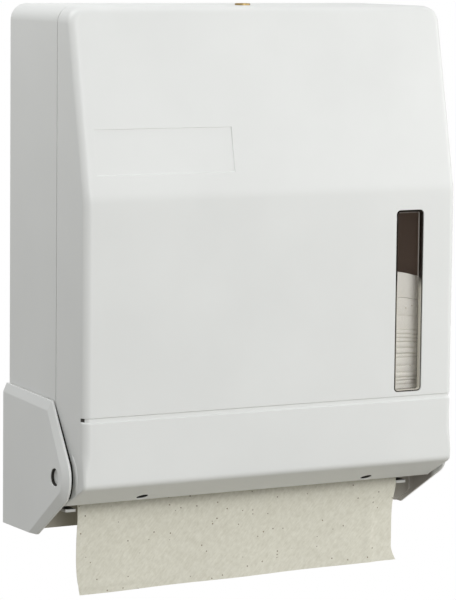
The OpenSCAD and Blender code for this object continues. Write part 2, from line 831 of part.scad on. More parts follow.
module hanging_towel() {
    n = sheet_cols + 1;
    back = n * (sheet_rows + 1);
    last = sheet_rows * n;
    cells = [for (j = [0 : sheet_rows - 1], i = [0 : sheet_cols - 1]) j * n + i];
    front_faces = [for (a = cells) each [[a, a + 1, a + n], [a + 1, a + n + 1, a + n]]];
    back_faces = [for (f = front_faces) [f[2] + back, f[1] + back, f[0] + back]];
    top_faces = [for (i = [0 : sheet_cols - 1]) each [[i + 1, i, i + back], [i + 1, i + back, i + 1 + back]]];
    low_faces = [for (i = [last : last + sheet_cols - 1])
        each [[i, i + 1, i + back], [i + 1, i + 1 + back, i + back]]];
    left_faces = [for (i = [0 : n : last - 1]) each [[i, i + n, i + back], [i + n, i + n + back, i + back]]];
    right_faces = [for (i = [n - 1 : n : last])
        each [[i + n, i, i + back], [i + n, i + back, i + n + back]]];
    color(paper) hang() polyhedron(concat(sheet_side(sheet_t), sheet_side(0)),
        concat(front_faces, back_faces, top_faces, low_faces, left_faces, right_faces));
}

rear_shell();
towel_tray();
tray_screws();
chute_panel();
left_chute_bracket();
right_chute_bracket();
left_towel_guide();
right_towel_guide();
guide_screws();
lock_barrel();
lock_washer();
lock_nut();
towel_stack();
front_cover();
window_lens();
lens_clips();
front_guide();
lip_screws();
left_hinge_pin();
right_hinge_pin();
lock_keeper();
keeper_screws();
lock_plug();
lock_cam();
cam_screw();
hanging_towel();
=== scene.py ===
import bpy
import bmesh
from contextlib import contextmanager
from math import acos, atan, atan2, copysign, cos, degrees, exp, hypot, pi, radians, sin, sqrt, tan
from mathutils import Matrix, Vector


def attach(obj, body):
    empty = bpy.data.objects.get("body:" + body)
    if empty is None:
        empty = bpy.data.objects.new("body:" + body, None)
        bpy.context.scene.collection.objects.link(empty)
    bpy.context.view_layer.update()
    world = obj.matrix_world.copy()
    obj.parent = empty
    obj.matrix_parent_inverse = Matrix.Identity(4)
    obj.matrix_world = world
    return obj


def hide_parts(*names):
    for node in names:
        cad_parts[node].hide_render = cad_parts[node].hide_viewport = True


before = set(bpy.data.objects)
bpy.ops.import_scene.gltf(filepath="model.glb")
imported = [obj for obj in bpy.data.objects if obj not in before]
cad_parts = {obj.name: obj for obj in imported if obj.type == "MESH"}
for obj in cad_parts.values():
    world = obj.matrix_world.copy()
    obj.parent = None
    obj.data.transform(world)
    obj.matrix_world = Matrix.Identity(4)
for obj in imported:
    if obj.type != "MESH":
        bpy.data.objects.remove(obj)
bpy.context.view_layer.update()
scene = bpy.context.scene
scene.view_settings.view_transform = "Standard"

mm = 0.001
screwMidHeight = 200  # heights are measured from the foot of the hinge ears


def place(x, depth, height):
    return Vector((x * mm, -depth * mm, (height - screwMidHeight) * mm))


def addObject(name, data):
    made = bpy.data.objects.new(name, data)
    scene.collection.objects.link(made)
    return made


# camera, fitted to the edges of the photograph

view = {
    "yaw": 29.46, "pitch": 6.54, "roll": -0.61,  # degrees
    "target": (-2.88, 55.0, 156.56), "distance": 2211.89,  # mm
    "focalPixels": 3127.19, "frameHeight": 600, "sensor": 24,
}


def addCamera():
    yaw, pitch, roll = (radians(view[k]) for k in ("yaw", "pitch", "roll"))
    ahead = Vector((sin(yaw) * cos(pitch), cos(yaw) * cos(pitch), -sin(pitch)))
    right = Vector((cos(yaw), -sin(yaw), 0))
    down = ahead.cross(right)
    across = right * cos(roll) + down * sin(roll)
    up = right * sin(roll) - down * cos(roll)
    data = bpy.data.cameras.new("photoView")
    data.sensor_fit = "VERTICAL"
    data.sensor_height = view["sensor"]
    data.lens = view["focalPixels"] / view["frameHeight"] * data.sensor_height
    camera = addObject("photoView", data)
    matrix = Matrix((across, up, -ahead)).transposed().to_4x4()
    matrix.translation = place(*view["target"]) - ahead * view["distance"] * mm
    camera.matrix_world = matrix
    scene.camera = camera


addCamera()
print("camera is in place")


# small tools for meshes

@contextmanager
def editing(data):
    mesh = bmesh.new()
    mesh.from_mesh(data)
    yield mesh
    mesh.to_mesh(data)
    mesh.free()


def meshPiece(name, verts, faces):
    data = bpy.data.meshes.new(name)
    data.from_pydata(verts, [], faces)
    data.validate()
    return addObject(name, data)


def turnOutwards(piece):
    with editing(piece.data) as mesh:
        bmesh.ops.remove_doubles(mesh, verts=mesh.verts, dist=1e-7)
        bmesh.ops.recalc_face_normals(mesh, faces=mesh.faces)
    return piece


def bake(piece):
    graph = bpy.context.evaluated_depsgraph_get()
    graph.update()
    mesh = bpy.data.meshes.new_from_object(piece.evaluated_get(graph))
    old = piece.data
    piece.modifiers.clear()
    piece.data = mesh
    bpy.data.meshes.remove(old)
    return piece


def cut(piece, tool):
    modifier = piece.modifiers.new("cut", "BOOLEAN")
    modifier.operation = "DIFFERENCE"
    modifier.solver = "EXACT"
    modifier.object = tool
    bake(piece)
    bpy.data.objects.remove(tool)
    return piece


def join(piece, others):
    with editing(piece.data) as mesh:
        for other in others:
            mesh.from_mesh(other.data)
            bpy.data.objects.remove(other)


def smooth(piece, angle):
    piece.data.shade_smooth()
    piece.data.set_sharp_from_angle(angle=radians(angle))
    weighted = piece.modifiers.new("flatFaces", "WEIGHTED_NORMAL")
    weighted.keep_sharp = True
    weighted.weight = 100
    bake(piece)


def soften(piece, width, segments=2, angle=30):
    bevel = piece.modifiers.new("soften", "BEVEL")
    bevel.width = width * mm
    bevel.segments = segments
    bevel.limit_method = "ANGLE"
    bevel.angle_limit = radians(angle)
    bake(piece)


def ringFaces(count, rings):
    steps = [(k * count, i, (i + 1) % count) for k in range(rings - 1) for i in range(count)]
    return [(base + i, base + j, base + count + j, base + count + i) for base, i, j in steps]


def loft(name, rings):
    # rings are closed loops with as many points each
    count = len(rings[0])
    faces = ringFaces(count, len(rings))
    faces.append(tuple(range(count))[::-1])
    faces.append(tuple(range((len(rings) - 1) * count, len(rings) * count)))
    return turnOutwards(meshPiece(name, [point for ring in rings for point in ring], faces))


def prism(name, outline, ends):
    # outline is in depth and height, and ends are places across the object
    return loft(name, [[place(x, d, h) for d, h in outline] for x in ends])


def turned(name, outline, centre, axis, steps=48):
    # outline is radius and distance along the axis, from one end to the other, in mm
    axis = Vector(axis).normalized()
    side = axis.orthogonal().normalized()
    other = axis.cross(side)
    angles = [2 * pi * i / steps for i in range(steps)]
    spokes = [side * cos(a) + other * sin(a) for a in angles]
    return loft(name, [[centre + (axis * along + spoke * radius) * mm for spoke in spokes]
                       for radius, along in outline])


def drill(piece, radius, edge, centre, axis, steps=48):
    # edge is growth of the hole and distance along its axis
    return cut(piece, turned("hole", [(radius + grow, along) for grow, along in edge], centre, axis, steps))


def arc(centre, radius, start, end, steps):
    # points of an arc in a plane, angles in degrees
    angles = [radians(start + (end - start) * i / steps) for i in range(steps + 1)]
    return [(centre[0] + radius * cos(a), centre[1] + radius * sin(a)) for a in angles]


def quarter(steps):
    # angles of a quarter turn
    return [pi / 2 * k / steps for k in range(steps + 1)]


def eased(share):
    share = min(1, max(0, share))
    return share * share * (3 - 2 * share)


def roundedBox(x0, x1, y0, y1, radius):
    points = []
    for cx, cy, start in ((x1 - radius, y0 + radius, -90), (x1 - radius, y1 - radius, 0),
                          (x0 + radius, y1 - radius, 90), (x0 + radius, y0 + radius, 180)):
        points += arc((cx, cy), radius, start, start + 90, 6)
    return points


# materials

def feed(socket, value):
    # a value is a constant or the output of another node
    if isinstance(value, bpy.types.NodeSocket):
        socket.id_data.links.new(value, socket)
    else:
        socket.default_value = value


def addNode(tree, kind, values=None, **settings):
    # gives the first output in use
    made = tree.nodes.new(kind)
    for key, value in settings.items():
        setattr(made, key, value)
    for key, value in (values or {}).items():
        feed(made.inputs[key], value)
    return next((socket for socket in made.outputs if socket.enabled), None)


def maths(operation, first, second=0.0):
    source = second if isinstance(first, float) else first
    return addNode(source.id_data, "ShaderNodeMath", {0: first, 1: second}, operation=operation)


def times(first, second):
    return maths("MULTIPLY", first, second)


def axes(vector):
    return addNode(vector.id_data, "ShaderNodeSeparateXYZ", {"Vector": vector}).node.outputs


def vector(tree, x=0.0, y=0.0, z=0.0):
    return addNode(tree, "ShaderNodeCombineXYZ", {"X": x, "Y": y, "Z": z})


def noise(coords, scale, detail=2, stretch=None, slant=0):
    # stretch is below 1 along the way that the pattern is drawn out, and slant turns that way
    tree = coords.id_data
    if stretch:
        values = {"Vector": coords, "Rotation": (0, slant, 0), "Scale": [1 / s for s in stretch]}
        coords = addNode(tree, "ShaderNodeMapping", values, vector_type="TEXTURE")
    return addNode(tree, "ShaderNodeTexNoise", {"Vector": coords, "Scale": scale, "Detail": detail})


def ramp(source, stops):
    made = addNode(source.id_data, "ShaderNodeValToRGB", {"Fac": source})
    elements = made.node.color_ramp.elements
    while len(elements) < len(stops):
        elements.new(0.5)
    for element, (position, colour) in zip(elements, stops):
        element.position = position
        element.color = (*colour, 1)
    return made


def spread(source, low, high, start=0.0, end=1.0):
    values = {"Value": source, "From Min": start, "From Max": end, "To Min": low, "To Max": high}
    return addNode(source.id_data, "ShaderNodeMapRange", values)


def bump(source, strength, depth):
    values = {"Height": source, "Strength": strength, "Distance": depth}
    return addNode(source.id_data, "ShaderNodeBump", values)


def skin(coords, strength):
    # the fine grain of moulded plastic
    return bump(noise(coords, scale=1500), strength, depth=0.0002)


def twoTones(coords, scale, dark, light):
    return ramp(noise(coords, scale, detail=3), [(0.3, dark), (0.7, light)])


def newMaterial(name):
    material = bpy.data.materials.new(name)
    material.use_nodes = True
    return material, material.node_tree.nodes.new("ShaderNodeTexCoord").outputs["Object"]


def setShader(material, values):
    shader = material.node_tree.nodes["Principled BSDF"]
    for key, value in values.items():
        feed(shader.inputs[key], value)
    return material


def mouldedPlastic(name, dark, light, rough, grain=0.06):
    material, coords = newMaterial(name)
    return setShader(material, {
        "Base Color": twoTones(coords, 14, dark, light),
        "Roughness": spread(noise(coords, scale=55, detail=4), rough - 0.05, rough + 0.07),
        "Normal": skin(coords, grain)})


def depthShadedPlastic(name, stops, deepest=120):
    # stops are depths in mm and the painted shade colour there
    material, coords = newMaterial(name)
    depth = times(axes(coords)["Y"], -1 / (deepest * mm))
    clouds = spread(noise(coords, scale=60, detail=4), -0.02, 0.02)
    colours = [(d / deepest, colour) for d, colour in stops]
    return setShader(material, {
        "Base Color": ramp(maths("ADD", depth, clouds), colours), "Roughness": 0.5,
        "Normal": skin(coords, 0.06)})


def bareMetal(name, dark, light, rough):
    material, coords = newMaterial(name)
    lines = noise(coords, scale=700, detail=3, stretch=(1, 1, 0.05))  # brushed upwards
    return setShader(material, {
        "Base Color": twoTones(coords, 160, dark, light), "Metallic": 1,
        "Roughness": spread(lines, rough - 0.08, rough + 0.12),
        "Normal": bump(lines, strength=0.15, depth=0.0001)})


towelShine = (165, 174)  # heights between which the painted reflection of the pale towels on the clear pan ends


def clearPlastic(name, tint, body, shine, low=None):
    # low is a colour painted on the plastic below the top of the stack, standing in for the light of the
    # towels seen through it
    material, coords = newMaterial(name)
    colour = (*tint, 1)
    if low:
        start, end = (place(0, 0, height).z for height in towelShine)
        colour = ramp(spread(axes(coords)["Z"], 0, 1, start, end), [(0, low), (1, tint)])
    return setShader(material, {
        "Base Color": colour, "Specular IOR Level": shine, "Alpha": body, "IOR": 1.49,
        "Roughness": spread(noise(coords, scale=70, detail=4), 0.04, 0.14)})


paper = {"mottle": 330, "ribs": 900, "ribStretch": (1, 1, 0.22), "ribSlant": 0.75,
         "cells": 240, "fleckSize": 0.13, "withoutFleck": 0.73}


def towelPaper(name, dark, light, fleck):
    # creped recycled paper: soft mottling, fine ribs and scattered flecks
    material, coords = newMaterial(name)
    tree = material.node_tree
    mottle = noise(coords, paper["mottle"], detail=5)
    ribs = noise(coords, paper["ribs"], 3, paper["ribStretch"], paper["ribSlant"])
    crepe = times(maths("ADD", mottle, ribs), 0.5)
    values = {"Vector": coords, "Scale": paper["cells"], "Randomness": 1}
    cells = addNode(tree, "ShaderNodeTexVoronoi", values).node.outputs
    near = maths("LESS_THAN", cells["Distance"], paper["fleckSize"])
    chance = addNode(tree, "ShaderNodeSeparateColor", {"Color": cells["Color"]})
    chosen = maths("GREATER_THAN", chance, paper["withoutFleck"])
    values = {"Factor": times(near, chosen), "B": (*fleck, 1),
              "A": ramp(crepe, [(0.32, dark), (0.66, light)])}
    mixed = addNode(tree, "ShaderNodeMix", values, data_type="RGBA")
    return setShader(material, {
        "Base Color": mixed, "Roughness": 0.9, "Specular IOR Level": 0.15,
        "Normal": bump(crepe, strength=0.5, depth=0.0004)})


finish = {
    "casing": mouldedPlastic("casingWhite", (0.77, 0.78, 0.765), (0.8, 0.81, 0.795), 0.4),
    "inside": mouldedPlastic("insideWhite", (0.72, 0.725, 0.7), (0.76, 0.765, 0.745), 0.45),
    "dark": mouldedPlastic("darkBrown", (0.205, 0.123, 0.086), (0.245, 0.147, 0.103), 0.5, 0.12),
    "chute": mouldedPlastic("chuteBrown", (0.37, 0.35, 0.295), (0.45, 0.425, 0.36), 0.5, 0.12),
    # painted shade on the inner faces of the feet, graded by depth
    "shade": depthShadedPlastic("paintedShadeGrey", [(45, (0.72, 0.7, 0.66)), (66, (0.36, 0.335, 0.31)),
                                         (86, (0.26, 0.24, 0.225)), (91, (0.77, 0.78, 0.765))]),
    # near-black painted shadow in bores, narrow lines, pockets, holes and on tabs
    "paintedShadow": mouldedPlastic("paintedShadowBlack", (0.02, 0.018, 0.015), (0.05, 0.045, 0.04), 0.8, 0.2),
    # the clear pan: painted shade on its walls and brim, a painted highlight on its fillet
    "lens": clearPlastic("clearPan", (1, 0.75, 0.59), 0.021, 0.5),
    "lensWallShaded": clearPlastic("clearPanWallShaded", (0.02, 0.015, 0.012), 0.88, 0.08, (0.78, 0.75, 0.66)),
    "lensRimShaded": clearPlastic("clearPanRimShaded", (0.02, 0.015, 0.012), 0.88, 0.08, (0.04, 0.032, 0.025)),
    "lensEdgeHighlight": clearPlastic("clearPanEdgeHighlight", (0.5, 0.47, 0.43), 0.55, 0.5, (0.2, 0.18, 0.14)),
    "steel": bareMetal("platedSteel", (0.5, 0.5, 0.48), (0.66, 0.66, 0.64), 0.35),
    "brass": bareMetal("lockBrass", (0.24, 0.17, 0.07), (0.34, 0.25, 0.11), 0.36),
    "stack": towelPaper("foldedTowels", (0.92, 0.905, 0.84), (0.96, 0.945, 0.885), (0.66, 0.61, 0.5)),
    "towel": towelPaper("hangingPaper", (0.69, 0.67, 0.565), (0.815, 0.8, 0.7), (0.3, 0.25, 0.18)),
}
print("finishes are mixed")


def dress(piece, *materials):
    piece.data.materials.clear()
    for material in materials:
        piece.data.materials.append(finish[material])


def fit(piece, body, node):
    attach(piece, body)
    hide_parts(node)


# outline of a hinge ear, which the cover's side makes room for

ear = {
    "inner": 147.9, "rim": 1.7, "outer": 152.3, "pivot": (85, 45.5), "pinHole": 6.05, "soft": 0.45,
    "lean": 0.062,  # the nose stands further out than the root
    "rimEdge": {"foot": (49.5, -0.4), "nose": 20, "front": (72, 96), "back": 99.5},
    "faceEdge": {"foot": (41.5, -0.1), "nose": 13, "front": (70.2, 89.2), "back": 93.4},
    "holeEdge": [(0, -9), (0, -0.5), (0.12, -0.2), (0.4, 0.05), (1, 0.65)],
    "holeReach": 25,  # from the root to the hole
}


def earOutline(edge):
    # from the foot round the nose to the top corner, then the two points at the wall
    cx, cy = ear["pivot"]
    r = edge["nose"]

    def touch(point, sign):
        run = Vector((point[0] - cx, point[1] - cy))
        return degrees(atan2(run.y, run.x) + sign * acos(r / run.length))

    start, end = touch(edge["foot"], 1), touch(edge["front"], -1)
    if start > end:
        start -= 360
    return [edge["foot"]] + arc((cx, cy), r, start, end, 24) + [edge["front"], (0, edge["back"]), (0, 0)]


def earLean(edge):
    # gives how far out a point of the ear leans, beyond the line from the foot to the front
    foot, front = Vector(edge["foot"]), Vector(edge["front"])
    run = (front - foot).normalized()
    return lambda d, h: ear["lean"] * max(0, (d - foot.x) * run.y - (h - foot.y) * run.x)


# front cover: one moulded shell, lofted in level sections

cover = {
    "halfWidth": 147.5, "top": 364.5, "seam": 73.8, "seamRound": 0.5, "wall": 2.6,
    "front": 117, "slopeTop": 91, "crease": 237, "creaseSoft": 3.5, "edgeRound": 5.5, "cornerRound": 11.5,
    "lipHeight": 41.2, "lipLow": 25.4, "lipBack": 87.5, "lipRound": 5.2,
    "skirtRound": 2.2, "skirtTop": 68, "skirtLow": 48,  # the upright edges are sharper towards the lip
    "groove": [(89.6, 0), (89.35, 0.06), (89.2, 0.25), (89.1, 1.0), (88.9, 1.1), (86.7, 0.85), (86.35, 0.72),
               (85.95, 0.2), (85.7, 0.05), (85.4, 0)],  # height and depth of its outline
    "lipRows": (25.5, 25.9, 26.6, 28, 30, 33, 36, 38),  # heights of level sections
    "skirtRows": (46, 48, 51, 54, 57, 60, 62, 64.9, 65.2, 68, 72),
    "frontRows": (91, 160, 226), "slopeRow": 320,
    "cornerRows": (-0.5, 0.4, 2, 4, 5.6),  # from where the upper corners start
    "columns": (20, 70, 94, 125),
    "label": (-137, -31.5, 252.2, 282.6), "labelCut": 0.52, "labelEdge": 0.14,
    "window": (98, 120.5, 92.3, 221.7), "windowRound": 3, "windowLip": 0.35,
    "pivot": (85, 45.5), "heel": 19.6, "pinHole": 5.75,
    "ridge": (22.4, 0.55, -27, 52),  # radius, height and angles
    "boss": [(5.75, 0), (8, 0), (8, -2.8), (7.7, -3.2), (5.75, -3.2)],
    "stud": [(1.5, -0.2), (1.5, 3.2), (1.1, 3.6)], "studIn": 5,
    "recess": (4, 1.7), "recessFront": 107,  # width and depth of the line beside an ear, and where it ends
    "recessEdge": (0.6, 0.15, 1.75),  # gap to the ear, and how it changes where the ear stands off
    "pocket": (1.25, 0.4, 0.9), "pocketWay": (0.95, -0.3), "pocketDrop": 0.5,
    "pocketShadow": (1.7, 0.45),  # painted shadow within this distance, and deeper than this
    "lipHoleX": 90.5, "lipHoleIn": 6.5, "lipHole": 4.1,
    "lipHoleEdge": [(0, -6), (0, -0.5), (0.15, -0.15), (0.5, 0.02), (1.2, 0.6)],
}


def slopeTangent():
    return (cover["front"] - cover["slopeTop"]) / (cover["top"] - cover["crease"])


def lipAngle():
    return atan2(cover["lipHeight"] - cover["lipLow"], cover["front"] - cover["lipBack"])


def frontAt(height):
    soft = cover["creaseSoft"]
    over = height - cover["crease"]
    if height < cover["lipHeight"]:
        share = (height - cover["lipLow"]) / (cover["lipHeight"] - cover["lipLow"])
        return cover["lipBack"] + share * (cover["front"] - cover["lipBack"])
    if over < -soft:
        return cover["front"]
    if over < soft:
        return cover["front"] - slopeTangent() * (over + soft) ** 2 / (4 * soft)
    return cover["front"] - slopeTangent() * over


def backAt(height):
    pivotDepth, pivotHeight = cover["pivot"]
    off = abs(height - pivotHeight)
    if off >= cover["heel"]:
        return cover["seam"] if height > pivotHeight else cover["lipBack"] - 1
    depth = pivotDepth - sqrt(cover["heel"] ** 2 - off ** 2)
    return min(cover["seam"], depth) if height > pivotHeight else depth


def coverRows():
    # height, depth of the front, depth of the groove there
    front, soft = cover["front"], cover["creaseSoft"]
    rows = [(h, frontAt(h), 0) for h in cover["lipRows"]]
    turn = 90 - degrees(lipAngle())
    run = cover["lipRound"] * tan(radians(turn / 2))
    centre = (front - cover["lipRound"], cover["lipHeight"] + run)
    rows += [(h, d, 0) for d, h in arc(centre, cover["lipRound"], -turn, 0, 5)]
    rows += [(h, front, 0) for h in cover["skirtRows"]]
    rows += [(h, front, inset) for h, inset in reversed(cover["groove"])]
    rows += [(h, front, 0) for h in cover["frontRows"]]
    low, high, edge = cover["label"][2], cover["label"][3], cover["labelEdge"]
    heights = [cover["crease"] + soft * k / 4 for k in range(-4, 5)]
    heights += [low - edge, low + edge, high - edge, high + edge, cover["slopeRow"]]
    slope = degrees(atan(slopeTangent()))
    r = cover["edgeRound"]
    centre = (cover["slopeTop"] - r * tan(radians((90 - slope) / 2)), cover["top"] - r)
    start = centre[1] + r * sin(radians(slope))
    corner = cover["top"] - cover["cornerRound"]
    heights += [corner + rise for rise in cover["cornerRows"] if corner + rise < start - 0.3]
    rows += [(h, frontAt(h), 0) for h in heights]
    return rows + [(h, d, 0) for d, h in arc(centre, r, slope, 90, 9)]


def coverColumns():
    flat = cover["halfWidth"] - cover["edgeRound"]
    left, right, edge = cover["label"][0], cover["label"][1], cover["labelEdge"]
    xs = [-flat, left - edge, left + edge, right - edge, right + edge, *cover["columns"], flat - 0.8, flat]
    return [x / flat for x in xs]


def coverSection(height, front, inset):
    w, corner = cover["halfWidth"], cover["top"] - cover["cornerRound"]
    if height > corner:
        w -= cover["cornerRound"] - sqrt(max(0, cover["cornerRound"] ** 2 - (height - corner) ** 2))
    back = backAt(height)
    share = eased((height - cover["skirtLow"]) / (cover["skirtTop"] - cover["skirtLow"]))
    r = cover["skirtRound"] + (cover["edgeRound"] - cover["skirtRound"]) * share
    r = max(0.15, min(r, front - back - 0.4))
    chamfer = min(cover["seamRound"], (front - back) / 4)
    half = [(-w + chamfer, back), (-w, back + chamfer), (-w, front - r)]
    half += [(-w + r - (r - inset) * cos(a), front - r + (r - inset) * sin(a)) for a in quarter(8)[1:-1]]
    face = [((w - r) * t, front - inset) for t in coverColumns()]
    left, right, low, high = cover["label"]
    if low < height < high:  # the label recess, left bare
        face = [(x, d - cover["labelCut"]) if left < x < right else (x, d) for x, d in face]
    return half + face + [(-x, d) for x, d in reversed(half)]


def coverShell():
    rings = [[place(x, d, h) for x, d in coverSection(h, front, inset)] for h, front, inset in coverRows()]
    return loft("frontCover", rings)


def coverHollow():
    wall, top, back, low = cover["wall"], cover["top"] - cover["wall"], 40, 10
    slope, lip = atan(slopeTangent()), lipAngle()
    front = cover["front"] - wall
    topDepth = cover["front"] - (top - cover["crease"]) * slopeTangent() - wall / cos(slope)
    lipRise = wall / cos(lip)
    outline = [(back, top), (topDepth - 1.5, top), (topDepth + 0.3, top - 1.5),
               (front, cover["crease"] - wall * tan(slope / 2)),
               (front, cover["lipLow"] + (front - cover["lipBack"]) * tan(lip) + lipRise),
               (cover["lipBack"], cover["lipLow"] + lipRise), (cover["lipBack"], low), (back, low)]
    w, r = cover["halfWidth"] - wall, cover["cornerRound"] - wall
    rings = [(-w + r - r * cos(a), r - r * sin(a)) for a in quarter(6)]
    rings += [(-x, drop) for x, drop in reversed(rings)]
    return loft("hollow", [[place(x, d, min(h, top - drop)) for d, h in outline] for x, drop in rings])


def windowOutline(grow):
    x0, x1, h0, h1 = cover["window"]
    return roundedBox(x0 - grow, x1 + grow, h0 - grow, h1 + grow, max(0.6, cover["windowRound"] + grow))


def studPlaces(depth):
    x0, x1, h0, h1 = cover["window"]
    off = cover["studIn"]
    return [place(x, depth, h) for x in (x0 - off, x1 + off) for h in (h0 + off, h1 - off)]


def windowCutter():
    lip = cover["windowLip"]
    flare = [(-8, 0)] + [(-lip * (1 - sin(a)), lip * (1 - cos(a))) for a in quarter(4)] + [(2, lip + 0.2)]
    return loft("windowCutter", [[place(x, cover["front"] + out, h) for x, h in windowOutline(grow)]
                                 for out, grow in flare])


def lipFrame():
    # directions along the lip and out of it
    lip = lipAngle()
    return Vector((0, -cos(lip), sin(lip))), Vector((0, -sin(lip), -cos(lip)))


def lipHoleAt(x):
    return place(x, cover["lipBack"], cover["lipLow"]) + lipFrame()[0] * cover["lipHoleIn"] * mm


def earRecess(side):
    width, deep = cover["recess"]
    gap, rise, fall = cover["recessEdge"]
    w, past = cover["halfWidth"], 0.6
    path = [Vector(point) for point in earOutline(ear["rimEdge"])[2:-2]]
    last, run = path[-2], path[-1] - path[-2]
    path[-1:] = [last + run * k / 8 for k in range(1, 10)]
    lean = earLean(ear["rimEdge"])
    rings = []
    for k, point in enumerate(path):
        run = (path[min(k + 1, len(path) - 1)] - path[max(k - 1, 0)]).normalized()
        out = Vector((run.y, -run.x))
        off = ear["inner"] - w + lean(point.x, point.y)
        reach = gap + off * (rise - fall * max(0, out.x))
        section = ((w + past, reach), (w - deep, reach), (w - deep, reach - width), (w + past, reach - width))
        rings.append([place(side * x, *(point + out * r)) for x, r in section])
    return loft("earRecess", rings)


def earRidge(side):
    # a low ridge in front of the ear's nose
    outer, height, start, end = cover["ridge"]
    section = [(outer - 2.6, -0.4), (outer - 2.6, height - 0.15), (outer - 0.5, height),
               (outer - 0.15, height - 0.12), (outer, height - 0.4), (outer, -0.4)]
    centre = Vector(cover["pivot"])
    steps = 24
    rings = []
    for k in range(steps + 1):
        a = radians(start + (end - start) * k / steps)
        low = min(1, k / 3, (steps - k) / 3)  # both ends run out
        rings.append([place(side * (cover["halfWidth"] + (x if x < 0 else x * low - 0.1 * (1 - low))),
                            *(centre + Vector((cos(a), sin(a))) * r)) for r, x in section])
    return loft("earRidge", rings)


def grooveEnd(side):
    # place and direction of the small pocket where the groove ends on the corner
    outwards, forwards = cover["pocketWay"]
    turn = Vector((outwards * side, forwards, 0)).normalized()
    r, inset = cover["edgeRound"], cover["halfWidth"] - cover["edgeRound"]
    height = cover["groove"][3][0] - cover["pocketDrop"]
    return place(side * inset, cover["front"] - r, height) + turn * r * mm, turn


def groovePocket(side):
    middle, turn = grooveEnd(side)
    up = Vector((0, 0, 1))
    across = turn.cross(up)
    length, height, deep = cover["pocket"]
    ring = [(cos(a) * length, sin(a) * height) for a in (pi / 8 * k for k in range(16))]
    return loft("pocket", [[middle + (turn * t + across * x + up * z) * mm for x, z in ring]
                           for t in (-deep, deep)])


def paintHoleShadow(piece):
    # painted shadow, near black, in the lines beside the ears, in the ends of the groove and in the two holes
    # in the lip
    floor = (cover["halfWidth"] - cover["recess"][1]) * mm
    outward = lipFrame()[1]
    within, deeper = cover["pocketShadow"]
    for face in piece.data.polygons:
        side = copysign(1, face.center.x)
        inner = min(abs(piece.data.vertices[k].co.x) for k in face.vertices)
        line = abs(inner - floor) < 2e-6 and -face.center.y < cover["recessFront"] * mm
        off = face.center - lipHoleAt(side * cover["lipHoleX"])
        up = off.dot(outward)
        hole = (off - outward * up).length < (cover["lipHole"] + 0.05) * mm and abs(up) < 3 * mm
        end, turn = grooveEnd(side)
        off = face.center - end
        if line or hole or off.length < within * mm and off.dot(turn) < -deeper * mm:
            face.material_index = 1


def addCover():
    piece = cut(coverShell(), coverHollow())
    cut(piece, windowCutter())
    extras = []
    for side in (-1, 1):
        lipHole = lipHoleAt(side * cover["lipHoleX"])
        drill(piece, cover["lipHole"], cover["lipHoleEdge"], lipHole, lipFrame()[1])
        cut(piece, earRecess(side))
        cut(piece, groovePocket(side))
        pivot = place(side * cover["halfWidth"], *cover["pivot"])
        drill(piece, cover["pinHole"], [(0, -20), (0, 2)], pivot, (side, 0, 0))
        seat = place(side * (cover["halfWidth"] - cover["wall"] + 0.2), *cover["pivot"])
        extras += [turned("pinBoss", cover["boss"], seat, (side, 0, 0)), earRidge(side)]
    for spot in studPlaces(cover["front"] - cover["wall"]):
        extras.append(turned("lensStud", cover["stud"], spot, (0, 1, 0), 20))
    join(piece, extras)
    smooth(piece, 40)
    dress(piece, "casing", "paintedShadow")
    paintHoleShadow(piece)
    fit(piece, "cover", "front_cover")


addCover()
print("front cover is moulded")


# clear pan in the window, with a rim behind the front wall

pan = {"fit": 0.15, "side": 1.4, "floor": 113.4, "floorBack": 111.6, "brim": 116.7,
       "rim": 8, "rimFront": 114.4, "rimBack": 112.6, "fillet": 0.6, "studHole": 1.55}


def addPan():
    wall, inner, f = -pan["fit"], -pan["fit"] - pan["side"], pan["fillet"]
    floor, back, brim = pan["floor"], pan["floorBack"], pan["brim"]
    # each ring is depth, growth of the outline and the finish up to the next ring; the floor's fillet is a
    # painted highlight, the walls and brim painted shade
    rings = [(floor + f * (1 - cos(a)), inner - f + f * sin(a), "lensEdgeHighlight") for a in quarter(4)[:-1]]
    rings += [(floor + f, inner, "lensWallShaded"), (brim - 0.4, inner, "lensWallShaded"),
              (brim - 0.1, inner + 0.12, "lensWallShaded"), (brim, inner + 0.4, "lensRimShaded"),
              (brim, wall - 0.3, "lensRimShaded"), (brim - 0.3, wall, "lensWallShaded"),
              (pan["rimFront"], wall, "lens"), (pan["rimFront"], pan["rim"], "lens"),
              (pan["rimBack"], pan["rim"], "lens"), (pan["rimBack"], wall, "lensWallShaded"),
              (back + 0.5, wall, "lens"), (back + 0.15, wall - 0.15, "lens"), (back, wall - 0.5, "lens")]
    outlines = [windowOutline(grow) for depth, grow, kind in rings]
    piece = loft("windowPan", [[place(x, ring[0], h) for x, h in line]
                               for ring, line in zip(rings, outlines)])
    kinds = ["lens", "lensWallShaded", "lensRimShaded", "lensEdgeHighlight"]
    dress(piece, *kinds)
    for index, face in enumerate(piece.data.polygons):
        ring = index // len(outlines[0])
        face.material_index = kinds.index(rings[ring][2]) if ring < len(rings) - 1 else 0
    for spot in studPlaces(pan["rimFront"]):
        drill(piece, pan["studHole"], [(0, -4), (0, 4)], spot, (0, 1, 0), 20)
    smooth(piece, 35)
    piece.visible_shadow = False  # clear plastic lets the light in
    fit(piece, "cover", "window_lens")


addPan()
print("window pan is set in")


# rear casing with its two hinge ears

